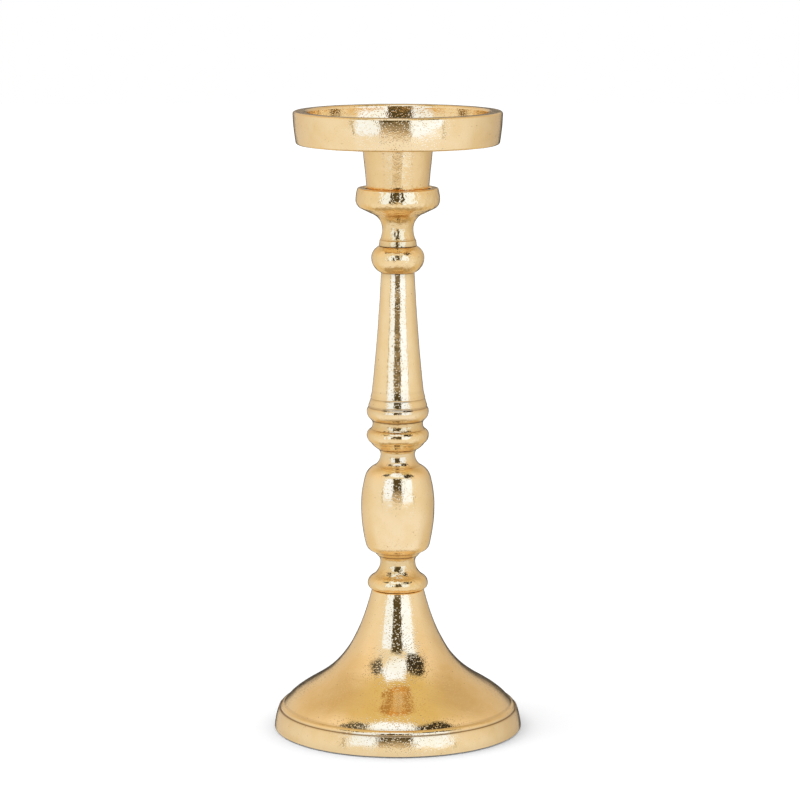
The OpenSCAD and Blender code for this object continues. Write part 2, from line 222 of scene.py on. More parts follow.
def new_material(name: str) -> tuple[bpy.types.Material, Graph, bpy.types.Node]:
    """Start a procedural material.

    Args:
        name: Name of the material.

    Returns:
        The material, its graph and its surface shader.
    """
    material = bpy.data.materials.new(name)
    material.use_nodes = True
    graph = Graph(material.node_tree)
    shader = material.node_tree.nodes["Principled BSDF"]
    return material, graph, shader


def blank_material(name: str) -> tuple[bpy.types.Material, Graph]:
    """Start a material of the studio, with no nodes.

    Args:
        name: Name of the material.

    Returns:
        The material and its empty graph.
    """
    material = bpy.data.materials.new(name)
    material.use_nodes = True
    material.node_tree.nodes.clear()
    return material, Graph(material.node_tree)


def new_object(
    name: str,
    points: list[Place],
    faces: list[tuple[int, ...]],
    edges: list[tuple[int, int]] | None = None,
) -> bpy.types.Object:
    """Make a mesh object at the origin.

    Args:
        name: Name of the object.
        points: Its points, in metres.
        faces: Its faces, by point numbers.
        edges: Its loose edges, by point numbers.

    Returns:
        The new object.
    """
    mesh = bpy.data.meshes.new(name)
    mesh.from_pydata(points, edges or [], faces)
    made = bpy.data.objects.new(name, mesh)
    bpy.context.scene.collection.objects.link(made)
    return made


@dataclass(frozen=True)
class CastGold:
    """Gold finish on hand-polished sand castings, raw inside the bell, sizes and depths in mm."""

    name: str = "cast_gold"
    light: Colour = (0.96, 0.73, 0.41)
    deep: Colour = (0.93, 0.685, 0.35)
    # Colour of stains in pits and creases; at creases and in hollow coves it also paints shade.
    stain_shade: Colour = (0.22, 0.12, 0.045)
    raw: Colour = (0.50, 0.34, 0.18)
    smooth: float = 0.04
    dull: float = 0.09
    satin: float = 0.32
    raw_dull: float = 0.5
    cloud: float = 9.0
    patch: float = 14.0
    pit: float = 0.8
    pit_depth: float = 0.04
    pit_stain: float = 0.55
    pit_dull: float = 0.2
    # Strength of the crease darkening: a staining line, with painted shade round it and in hollow
    # coves.
    crease_stain_shade: float = 0.85
    pebble: float = 0.85
    pebble_depth: float = 0.045
    grain: float = 1.05
    grain_depth: float = 0.03
    ripple: float = 3.2
    ripple_depth: float = 0.05
    raw_grain: float = 1.1
    raw_depth: float = 0.3

    def material(self) -> bpy.types.Material:
        """Build the material: tone, gloss, sand grain, pits, and creases darkened by staining and
        painted shade.

        Returns:
            The material.
        """
        material, graph, shader = new_material(self.name)
        place = graph.add("ShaderNodeTexCoord").outputs["Object"]
        recess, raw, satin = (
            graph.add("ShaderNodeAttribute", attribute_name=name).outputs["Fac"]
            for name in Lathe.CARRIED
        )
        clouds = graph.noise(place, self.cloud, 3.0, 0.55)
        patches = graph.span(graph.noise(place, self.patch), 0.36, 0.64, 0.7, 1.1)
        pits = graph.span(graph.noise(place, self.pit, 1.0, 0.4), 0.74, 0.80)

        tone = graph.blend(graph.span(clouds, 0.35, 0.7), (*self.light, 1), (*self.deep, 1))
        pitted = graph.blend(graph.product(pits, self.pit_stain), tone, (*self.stain_shade, 1))
        # Creases and hollow coves darken towards the stain colour: partly staining, partly painted
        # shade.
        stain_shaded = graph.blend(graph.product(recess, self.crease_stain_shade), pitted, (*self.stain_shade, 1))
        graph.feed(shader.inputs["Base Color"], graph.blend(raw, stain_shaded, (*self.raw, 1)))

        gloss = graph.mix(graph.span(clouds, 0.3, 0.72), self.smooth, self.dull)
        worn = graph.math("ADD", gloss, graph.product(pits, self.pit_dull))
        turned = graph.mix(satin, worn, self.satin)
        graph.feed(shader.inputs["Roughness"], graph.mix(raw, turned, self.raw_dull))
        shader.inputs["Metallic"].default_value = 1.0

        grain = graph.product(graph.noise(place, self.grain, 3.0, 0.62), self.grain_depth)
        pebbles = graph.product(graph.pebbles(place, self.pebble), self.pebble_depth)
        sand = graph.product(graph.math("ADD", grain, pebbles), patches)
        ripple = graph.product(graph.noise(place, self.ripple, 1.5, 0.4), self.ripple_depth)
        height = graph.math("ADD", sand, ripple)
        dented = graph.math("SUBTRACT", height, graph.product(pits, self.pit_depth))
        coarse = graph.product(raw, graph.noise(place, self.raw_grain, 4.0, 0.6), self.raw_depth)
        bump = graph.add(
            "ShaderNodeBump",
            {"Strength": 1.0, "Distance": MM, "Height": graph.math("ADD", dented, coarse)},
        )
        graph.feed(shader.inputs["Normal"], bump.outputs[0])
        return material


@dataclass(frozen=True)
class KnopGold(CastGold):
    """The gold of the knops and the collar, more dented, and deeper in colour as painted shade for
    where they sit between and under larger parts.
    """

    name: str = "cast_gold_knops"
    # Darker copy of the same gold's colour: painted shade.
    light: Colour = (0.93, 0.69, 0.355)
    deep: Colour = (0.90, 0.645, 0.30)
    smooth: float = 0.05
    dull: float = 0.12
    ripple: float = 2.2
    ripple_depth: float = 0.34


@dataclass(frozen=True)
class CupGold(CastGold):
    """The gold of the candle cup, nearly even, and deeper in colour as painted shade for where it sits
    under the dish.
    """

    name: str = "cast_gold_cup"
    # Darker copy of the same gold's colour: painted shade under the dish.
    light: Colour = (0.90, 0.655, 0.335)
    deep: Colour = (0.865, 0.61, 0.285)
    smooth: float = 0.045
    ripple_depth: float = 0.08


@dataclass(frozen=True)
class PlatedSteel:
    """Zinc-plated steel of the rod, nut and washers, sizes and depths in mm."""

    name: str = "plated_steel"
    light: Colour = (0.66, 0.66, 0.67)
    dark: Colour = (0.40, 0.40, 0.42)
    smooth: float = 0.25
    dull: float = 0.42
    cloud: float = 2.2
    scratch: float = 0.15
    scratch_depth: float = 0.01

    def material(self) -> bpy.types.Material:
        """Build the material: cloudy plating with fine scratches.

        Returns:
            The material.
        """
        material, graph, shader = new_material(self.name)
        place = graph.add("ShaderNodeTexCoord").outputs["Object"]
        clouds = graph.noise(place, self.cloud, 4.0, 0.6)
        fine = graph.noise(place, self.scratch, 2.0, 0.6)
        share = graph.span(clouds, 0.35, 0.7)
        graph.feed(shader.inputs["Base Color"], graph.blend(share, (*self.light, 1), (*self.dark, 1)))
        graph.feed(shader.inputs["Roughness"], graph.mix(share, self.smooth, self.dull))
        shader.inputs["Metallic"].default_value = 1.0
        depth = self.scratch_depth * MM
        bump = graph.add("ShaderNodeBump", {"Strength": 0.5, "Distance": depth, "Height": fine})
        graph.feed(shader.inputs["Normal"], bump.outputs[0])
        return material


@dataclass(frozen=True)
class WoolFelt:
    """Dense dark felt, sizes and depths in mm."""

    name: str = "wool_felt"
    dark: Colour = (0.022, 0.019, 0.017)
    light: Colour = (0.085, 0.075, 0.066)
    rough: float = 0.95
    sheen: float = 0.35
    sheen_rough: float = 0.6
    fibre: float = 0.35
    fibre_depth: float = 0.12
    tuft: float = 2.5

    def material(self) -> bpy.types.Material:
        """Build the material: matted fibres with a little sheen.

        Returns:
            The material.
        """
        material, graph, shader = new_material(self.name)
        place = graph.add("ShaderNodeTexCoord").outputs["Object"]
        mat = graph.noise(place, self.fibre, 4.0, 0.7)
        tufts = graph.noise(place, self.tuft, 3.0, 0.6)
        tangle = graph.math("ADD", graph.product(mat, 0.6), graph.product(tufts, 0.4))
        share = graph.span(tangle, 0.32, 0.7)
        graph.feed(shader.inputs["Base Color"], graph.blend(share, (*self.dark, 1), (*self.light, 1)))
        shader.inputs["Roughness"].default_value = self.rough
        shader.inputs["Sheen Weight"].default_value = self.sheen
        shader.inputs["Sheen Roughness"].default_value = self.sheen_rough
        depth = self.fibre_depth * MM
        bump = graph.add("ShaderNodeBump", {"Strength": 1.0, "Distance": depth, "Height": mat})
        graph.feed(shader.inputs["Normal"], bump.outputs[0])
        return material


@dataclass
class Outline:
    """Half-section of a turned piece in mm, walked with the metal on its left."""

    start: Point
    points: list[Point] = field(init=False)
    skins: list[Skin] = field(init=False)

    # Lengths in mm, angles in radians, and shares.
    PITCH = 0.36
    ARC_STEPS = 6
    SHARP = math.radians(12)
    # Turn at which a hollow corner takes its full staining and painted shade.
    STAIN_SHADE_TURN = 0.9
    WIDEST_TURN = 2.6
    BEND_STEP = 0.3
    LONGEST_CUT = 0.45
    LONG_ROW = 0.7
    EDGE_ROW = 0.15
    # Strongest painted shade in a hollow cove, the cove radius in mm that takes it all, and the reach
    # in mm over which a cove is measured.
    HOLLOW_SHADE = 0.2
    HOLLOW_R = 5.0
    HOLLOW_REACH = 0.8

    def __post_init__(self) -> None:
        """Begin the walk at the start."""
        self.points = [self.start]
        self.skins = [Skin.HIDDEN]

    def line(self, *points: Point, skin: Skin = Skin.POLISHED) -> "Outline":
        """Go straight from point to point.

        Args:
            *points: Points to go through.
            skin: Finish of this stretch.

        Returns:
            The outline itself.
        """
        for point in points:
            if math.dist(point, self.points[-1]) > TINY:
                self.points.append(point)
                self.skins.append(skin)
        return self

    def bow(self, end: Point, rise: float, skin: Skin = Skin.POLISHED) -> "Outline":
        """Go along an arc that bows outwards by a rise, or inwards where it is negative.

        Args:
            end: Point where the arc ends.
            rise: Height of the arc over its chord.
            skin: Finish of this stretch.

        Returns:
            The outline itself.
        """
        a = self.points[-1]
        chord = math.dist(a, end)
        along = ((end[0] - a[0]) / chord, (end[1] - a[1]) / chord)
        out = (along[1], -along[0])
        half = chord / 2
        radius = (half * half + rise * rise) / (2 * rise)
        middle = tuple((a[i] + end[i]) / 2 + (rise - radius) * out[i] for i in (0, 1))
        sweep = math.asin(half / radius)
        steps = max(self.ARC_STEPS, math.ceil(abs(radius * sweep) * 2 / self.PITCH))
        for k in range(1, steps + 1):
            t = sweep * (2 * k / steps - 1)
            c, s = radius * math.cos(t), radius * math.sin(t)
            self.line(tuple(middle[i] + c * out[i] + s * along[i] for i in (0, 1)), skin=skin)
        return self

    def swell(self, peak: Point, end: Point) -> "Outline":
        """Go along two arcs that meet upright at the widest or narrowest point.

        Args:
            peak: Widest or narrowest point.
            end: Point where the second arc ends.

        Returns:
            The outline itself.
        """
        lower = self.upright(self.points[-1], peak)
        return self.line(*lower, *reversed(self.upright(end, peak)))

    @classmethod
    def upright(cls, end: Point, peak: Point) -> list[Point]:
        """Points of an arc from an end to a peak, where it stands upright.

        Args:
            end: Point where the arc begins.
            peak: Point where it stands upright.

        Returns:
            The points, both ends among them.
        """
        dr, dz = peak[0] - end[0], end[1] - peak[1]
        radius = (dr * dr + dz * dz) / (2 * dr)
        sweep = 2 * math.atan(dr / dz)
        steps = max(cls.ARC_STEPS, math.ceil(abs(radius * sweep) / cls.PITCH))
        turns = [sweep * k / steps for k in range(steps, -1, -1)]
        return [(peak[0] - radius * (1 - math.cos(t)), peak[1] + radius * math.sin(t)) for t in turns]

    def round_over(self, radius: float) -> "Outline":
        """Turn inwards over the top of an edge by a quarter round."""
        r, z = self.points[-1]
        return self.bow((r - radius, z + radius), (1 - math.cos(math.pi / 4)) * radius)

    def stations(self, edge: float = 0.22) -> list["Station"]:
        """Rows of the turned mesh: the outline with softened corners and short enough steps.

        Args:
            edge: Radius that softens each sharp corner, in mm.

        Returns:
            The rows, in the order of the walk.
        """
        closed = self.points[0][0] > 0
        corners: list[tuple[Point, float]] = []
        path: list[tuple[Point, Skin]] = []
        count = len(self.points)
        for i, point in enumerate(self.points):
            into, out = self.skins[i], self.skins[(i + 1) % count]
            before, after = self.points[i - 1], self.points[(i + 1) % count]
            if not closed and i in (0, count - 1):
                path.append((point, into))
                continue
            u = (point[0] - before[0], point[1] - before[1])
            v = (after[0] - point[0], after[1] - point[1])
            turn = self.turning(u, v)
            if abs(turn) < self.SHARP or (into is Skin.HIDDEN and out is Skin.HIDDEN):
                path.append((point, into))
                continue
            # Hollow corners and joints take a dark line of staining with painted shade around it.
            if turn < 0 or Skin.HIDDEN in (into, out):
                dirt_and_shade = into.dirt_and_shade if out is into else into.dirt_and_shade * out.dirt_and_shade
                corners.append((point, dirt_and_shade * min(1.0, abs(turn) / self.STAIN_SHADE_TURN)))
            lu, lv = math.hypot(*u), math.hypot(*v)
            cut = edge * math.tan(min(abs(turn), self.WIDEST_TURN) / 2)
            cut = min(cut, self.LONGEST_CUT * lu, self.LONGEST_CUT * lv)
            a = (point[0] - u[0] / lu * cut, point[1] - u[1] / lu * cut)
            b = (point[0] + v[0] / lv * cut, point[1] + v[1] / lv * cut)
            bent = Skin.POLISHED if Skin.HIDDEN in (into, out) else out
            steps = max(2, math.ceil(abs(turn) / self.BEND_STEP))
            for k, place in enumerate(self.bend(a, point, b, steps)):
                path.append((place, bent if k else into))
        if closed:
            path.append((path[0][0], self.skins[0]))
        return self.rows(path, corners)

    @staticmethod
    def turning(u: Point, v: Point) -> float:
        """Angle from one step of the walk to the next, to the left where it is positive."""
        return math.atan2(u[0] * v[1] - u[1] * v[0], u[0] * v[0] + u[1] * v[1])

    @staticmethod
    def bend(a: Point, corner: Point, b: Point, steps: int) -> list[Point]:
        """Soft bend in place of a corner.

        Args:
            a: Point where the bend begins.
            corner: Corner that it replaces.
            b: Point where it ends.
            steps: Number of its steps.

        Returns:
            Its points, both ends among them.
        """
        places = []
        for k in range(steps + 1):
            t = k / steps
            w = ((1 - t) ** 2, 2 * t * (1 - t), t * t)
            places.append(tuple(w[0] * a[i] + w[1] * corner[i] + w[2] * b[i] for i in (0, 1)))
        return places

    @classmethod
    def rows(
        cls, path: list[tuple[Point, Skin]], corners: list[tuple[Point, float]]
    ) -> list["Station"]:
        """Cut a softened path into rows.

        Args:
            path: Points with the finish of the stretch that ends at each.
            corners: Hollow corners and joints, with a weight for the staining and painted shade they
                hold.

        Returns:
            The rows.
        """
        found: list[Station] = []
        for (a, _), (b, skin) in zip(path, path[1:]):
            length = math.dist(a, b)
            if length < TINY:
                continue
            cuts = math.ceil(length / skin.value)
            marks = [k / cuts for k in range(cuts)]
            if length > cls.LONG_ROW and skin is not Skin.HIDDEN:
                marks = sorted({*marks, cls.EDGE_ROW / length, 1 - cls.EDGE_ROW / length})
            for t in marks:
                p = (a[0] + (b[0] - a[0]) * t, a[1] + (b[1] - a[1]) * t)
                near = max((Station.stain_shade(math.dist(p, c), w) for c, w in corners), default=0.0)
                found.append(Station(p, near, *Station.cover(skin)))
        last, skin = path[-1]
        found.append(Station(last, found[-1].recess, *Station.cover(skin)))
        places = [station.place for station in found]
        # Hollow coves get painted shade, deeper the tighter they curve.
        return [
            replace(station, recess=max(station.recess, cls.HOLLOW_SHADE * cls.hollow(places, k)))
            for k, station in enumerate(found)
        ]

    @classmethod
    def hollow(cls, places: list[Point], at: int) -> float:
        """How hollow the half-section is at one of its rows.

        Args:
            places: Rows of the half-section.
            at: Number of the row.

        Returns:
            0 where it is flat or full, 1 where it is a hollow of 5 mm radius or less.
        """
        here = places[at]
        before = next((q for q in places[at::-1] if math.dist(q, here) > cls.HOLLOW_REACH), None)
        after = next((q for q in places[at:] if math.dist(q, here) > cls.HOLLOW_REACH), None)
        if before is None or after is None:
            return 0.0
        u = (here[0] - before[0], here[1] - before[1])
        v = (after[0] - here[0], after[1] - here[1])
        fall = max(0.0, -cls.turning(u, v))
        return min(1.0, fall * (2 * cls.HOLLOW_R) / (math.hypot(*u) + math.hypot(*v)))


@dataclass(frozen=True)
class Station:
    """One row of a turned mesh: its place on the half-section, what covers it there, and its share of
    staining and painted shade.
    """

    place: Point
    recess: float
    raw: float
    satin: float
    thread: float

    # Widths in mm of the staining line and of the painted shade halo round it, and the halo's strongest
    # share.
    LINE_W = 0.36
    HALO_W = 2.2
    HALO_SHARE = 0.25

    @classmethod
    def stain_shade(cls, distance: float, dirt_and_shade: float) -> float:
        """Share of darkening near a crease: a dark line of staining in a faint halo of painted shade.

        Args:
            distance: Distance from the crease in mm.
            dirt_and_shade: How much staining and painted shade the crease holds; above 1 the line
                widens and the halo goes.

        Returns:
            Share from 0 to 1.
        """
        line = min(1.0, dirt_and_shade * math.exp(-((distance / cls.LINE_W) ** 2)))
        halo = cls.HALO_SHARE * dirt_and_shade * math.exp(-((distance / cls.HALO_W) ** 2)) if dirt_and_shade <= 1 else 0.0
        return max(line, halo)

    @staticmethod
    def cover(skin: Skin) -> tuple[float, float, float]:
        """Shares of raw metal, satin metal and thread under a finish."""
        return float(skin is Skin.RAW), float(skin is Skin.SATIN), float(skin is Skin.THREADED)


class Tool:
    """Geometry Nodes tree with named inputs that works on a piece once."""

    NAME = ""
    TAKES = ""
    GIVES = ""
    INPUTS: dict[str, str] = {}

    def __init__(self) -> None:
        """Build the tree and its named inputs."""
        self.tree = bpy.data.node_groups.new(self.NAME, "GeometryNodeTree")
        face = self.tree.interface
        face.new_socket(self.TAKES, in_out="INPUT", socket_type="NodeSocketGeometry")
        self.sockets = {
            name: face.new_socket(name, in_out="INPUT", socket_type=f"NodeSocket{kind}").identifier
            for name, kind in self.INPUTS.items()
        }
        face.new_socket(self.GIVES, in_out="OUTPUT", socket_type="NodeSocketGeometry")
        self._wire(Graph(self.tree))

    def _wire(self, graph: Graph) -> None:
        """Lay the nodes of the tree."""
        raise NotImplementedError

    @staticmethod
    def _end(graph: Graph, mesh: object, finish: object) -> None:
        """End a tree in a plain mesh with its material.

        Args:
            graph: Graph of the tree.
            mesh: Socket of the geometry.
            finish: Socket of the material.
        """
        mesh = graph.add("GeometryNodeRealizeInstances", {"Geometry": mesh}).outputs[0]
        mesh = graph.add("GeometryNodeSetMaterial", {"Geometry": mesh, "Material": finish}).outputs[0]
        graph.add("NodeGroupOutput", {0: mesh})

    def work(
        self, piece: bpy.types.Object, finish: bpy.types.Material, sizes: dict[str, float]
    ) -> bpy.types.Object:
        """Run the tree on a piece and keep the result as a plain mesh.

        Args:
            piece: Object that the tree takes.
            finish: Its only material.
            sizes: Values of the tree's other inputs, by name.

        Returns:
            The same object with its new mesh and no modifiers.
        """
        modifier = piece.modifiers.new(self.NAME, "NODES")
        modifier.node_group = self.tree
        for label, value in {**sizes, "Finish": finish}.items():
            modifier[self.sockets[label]] = value
        return plain(piece, finish)


class Lathe(Tool):
    """Turns a half-section into a closed mesh."""

    NAME = "turned_piece"
    TAKES = "Half-section"
    GIVES = "Turned"
    INPUTS = {
        "Segments": "Int",
        "Waver": "Float",
        "Waver Size": "Float",
        "Seed": "Int",
        "Thread Pitch": "Float",
        "Thread Depth": "Float",
        "Finish": "Material",
    }
    # Named attributes carried onto the mesh: the share of staining and painted shade, raw metal, and
    # satin metal.
    CARRIED = ("recess", "raw", "satin")
    # Widest seam that is merged, in metres, noise below which the surface stays true, and turns of
    # thread that keep the count above zero.
    MERGE = 2e-6
    CALM = 0.28
    PAST_ZERO = 1000.0

    def _wire(self, graph: Graph) -> None:
        """Lay the nodes: a grid of rows and columns, bent round, closed and wavered.

        Args:
            graph: Graph of this lathe's tree.
        """
        given = graph.add("NodeGroupInput").outputs
        size = graph.add("GeometryNodeAttributeDomainSize", {0: given["Half-section"]})
        rows = size.outputs["Point Count"]
        columns = graph.math("ADD", given["Segments"], 1)
        grid = graph.add("GeometryNodeMeshGrid", {"Vertices X": columns, "Vertices Y": rows})
        index = graph.add("GeometryNodeInputIndex").outputs[0]
        row = graph.math("MODULO", index, rows)
        column = graph.math("FLOOR", graph.math("DIVIDE", index, rows))
        position = graph.add("GeometryNodeInputPosition").outputs[0]
        section = self._sample(graph, given["Half-section"], position, row, "FLOAT_VECTOR")
        split = graph.add("ShaderNodeSeparateXYZ", {0: section}).outputs
        share = graph.math("DIVIDE", column, given["Segments"])
        climb = graph.math("SUBTRACT", graph.math("DIVIDE", split[2], given["Thread Pitch"]), share)
        flank = graph.math("PINGPONG", graph.math("ADD", climb, self.PAST_ZERO), 0.5)
        mask = self._sample(graph, given["Half-section"], self._named(graph, "thread"), row, "FLOAT")
        cut = graph.product(flank, 2.0, mask, given["Thread Depth"])
        radius = graph.math("SUBTRACT", split[0], cut)
        angle = graph.math("MULTIPLY", share, math.tau)
        place = graph.add(
            "ShaderNodeCombineXYZ",
            {
                0: graph.math("MULTIPLY", radius, graph.math("COSINE", angle)),
                1: graph.math("MULTIPLY", radius, graph.math("SINE", angle)),
                2: split[2],
            },
        ).outputs[0]
        bent = {"Geometry": grid.outputs["Mesh"], "Position": place}
        mesh = graph.add("GeometryNodeSetPosition", bent).outputs[0]
        for name in self.CARRIED:
            value = self._sample(graph, given["Half-section"], self._named(graph, name), row, "FLOAT")
            mesh = graph.add(
                "GeometryNodeStoreNamedAttribute",
                {"Geometry": mesh, "Name": name, "Value": value},
                data_type="FLOAT",
                domain="POINT",
            ).outputs[0]
        merge = {"Geometry": mesh, "Distance": self.MERGE}
        mesh = graph.add("GeometryNodeMergeByDistance", merge).outputs[0]
        noise = graph.add(
            "ShaderNodeTexNoise",
            {
                "Vector": position,
                "W": given["Seed"],
                "Scale": graph.math("DIVIDE", 1.0, given["Waver Size"]),
                "Detail": 1.5,
                "Roughness": 0.45,
            },
            noise_dimensions="4D",
        ).outputs[0]
        normal = graph.add("GeometryNodeInputNormal").outputs[0]
        lump = graph.math("MAXIMUM", graph.math("SUBTRACT", noise, self.CALM), 0.0)
        sink = graph.product(lump, given["Waver"], -1.0)
        push = graph.add("ShaderNodeVectorMath", {0: normal, "Scale": sink}, operation="SCALE")
        uneven = {"Geometry": mesh, "Offset": push.outputs[0]}
        mesh = graph.add("GeometryNodeSetPosition", uneven).outputs[0]
        mesh = graph.add("GeometryNodeSetShadeSmooth", {"Geometry": mesh}).outputs[0]
        self._end(graph, mesh, given["Finish"])

    @staticmethod
    def _named(graph: Graph, name: str) -> bpy.types.NodeSocket:
        """Socket of a float attribute."""
        node = graph.add("GeometryNodeInputNamedAttribute", {"Name": name}, data_type="FLOAT")
        return node.outputs[0]

    @staticmethod
    def _sample(
        graph: Graph, source: object, value: object, row: object, kind: str
    ) -> bpy.types.NodeSocket:
        """Value of the half-section at a row.

        Args:
            graph: Graph of the tree.
            source: Geometry of the half-section.
            value: Field that is read.
            row: Number of the row.
            kind: Data type of the field.

        Returns:
            The socket of the sampled value.
        """
        inputs = {"Geometry": source, "Value": value, "Index": row}
        return graph.add("GeometryNodeSampleIndex", inputs, data_type=kind, domain="POINT").outputs[0]

    def turn(
        self,
        name: str,
        rows: list[Station],
        base: float,
        finish: bpy.types.Material,
        segments: int = 192,
        waver: float = 0.25,
        waver_size: float = 7.0,
        seed: int = 1,
        pitch: float = 1.0,
        depth: float = 0.0,
    ) -> bpy.types.Object:
        """Turn one piece and set it at its height.

        Args:
            name: Name of the piece.
            rows: Rows of its half-section, in mm.
            base: Height of the section's zero, in mm.
            finish: Material of the piece.
            segments: Faces around the axis.
            waver: Depth of the unevenness left by hand polishing, in mm.
            waver_size: Size of one lump of it, in mm.
            seed: Seed of the unevenness.
            pitch: Pitch of a screw thread, in mm.
            depth: Depth of that thread, in mm.

        Returns:
            The piece as a plain mesh object.
        """
        places = [(s.place[0] * MM, 0.0, (s.place[1] + base) * MM) for s in rows]
        piece = new_object(name, places, [], [(i, i + 1) for i in range(len(rows) - 1)])
        for label in (*self.CARRIED, "thread"):
            values = piece.data.attributes.new(label, "FLOAT", "POINT")
            values.data.foreach_set("value", [getattr(s, label) for s in rows])
        sizes = {
            "Segments": segments,
            "Waver": waver * MM,
            "Waver Size": waver_size * MM,
            "Seed": seed,
            "Thread Pitch": pitch * MM,
            "Thread Depth": depth * MM,
        }
        return self.work(piece, finish, sizes)


def plain(piece: bpy.types.Object, finish: bpy.types.Material) -> bpy.types.Object:
    """Turn an object with live modifiers into a plain mesh.

    Args:
        piece: Object that is evaluated.
        finish: Its only material.

    Returns:
        The same object with its evaluated mesh and no modifiers.
    """
    bpy.context.view_layer.update()
    graph = bpy.context.evaluated_depsgraph_get()
    mesh = bpy.data.meshes.new_from_object(piece.evaluated_get(graph), depsgraph=graph)
    piece.modifiers.clear()
    old = piece.data
    piece.data = mesh
    bpy.data.meshes.remove(old)
    mesh.name = piece.name
    mesh.materials.clear()
    mesh.materials.append(finish)
    mesh.polygons.foreach_set("material_index", [0] * len(mesh.polygons))
    mesh.polygons.foreach_set("use_smooth", [True] * len(mesh.polygons))
    return piece


def settle(piece: bpy.types.Object, slot: Slot, *nodes: str) -> None:
    """Fix a piece to the body, in place of its solids.

    Args:
        piece: Finished piece.
        slot: Slot of the record that its finish comes from; not used.
        *nodes: Solids that it stands for.
    """
    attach(piece, BODY)
    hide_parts(*nodes)
    log.info("%s: %d faces", piece.name, len(piece.data.polygons))


@dataclass
class Workshop:
    """Lathe and finishes that the sub-assemblies share."""

    lathe: Lathe
    gold: bpy.types.Material
    knop_gold: bpy.types.Material
    cup_gold: bpy.types.Material
    steel: bpy.types.Material
    felt: bpy.types.Material


@dataclass(frozen=True)
class Register:
    """Spigot, socket and bore that centre each casting on the one below, radii in mm."""

    bore: float = 3.3
    spigot: float = 5.0
    socket: float = 5.15
    spigot_h: float = 2.0
    socket_h: float = 2.15

    def close(self, outline: Outline, top: float) -> Outline:
        """Close an outline from the joint at its top to the spigot at its foot.

        Args:
            outline: Outline that has reached its top joint.
            top: Height of that joint.

        Returns:
            The outline itself.
        """
        return outline.line(
            (self.socket, top),
            (self.socket, top - self.socket_h),
            (self.bore, top - self.socket_h),
            (self.bore, -self.spigot_h),
            (self.spigot, -self.spigot_h),
            (self.spigot, 0.0),
            skin=Skin.HIDDEN,
        )


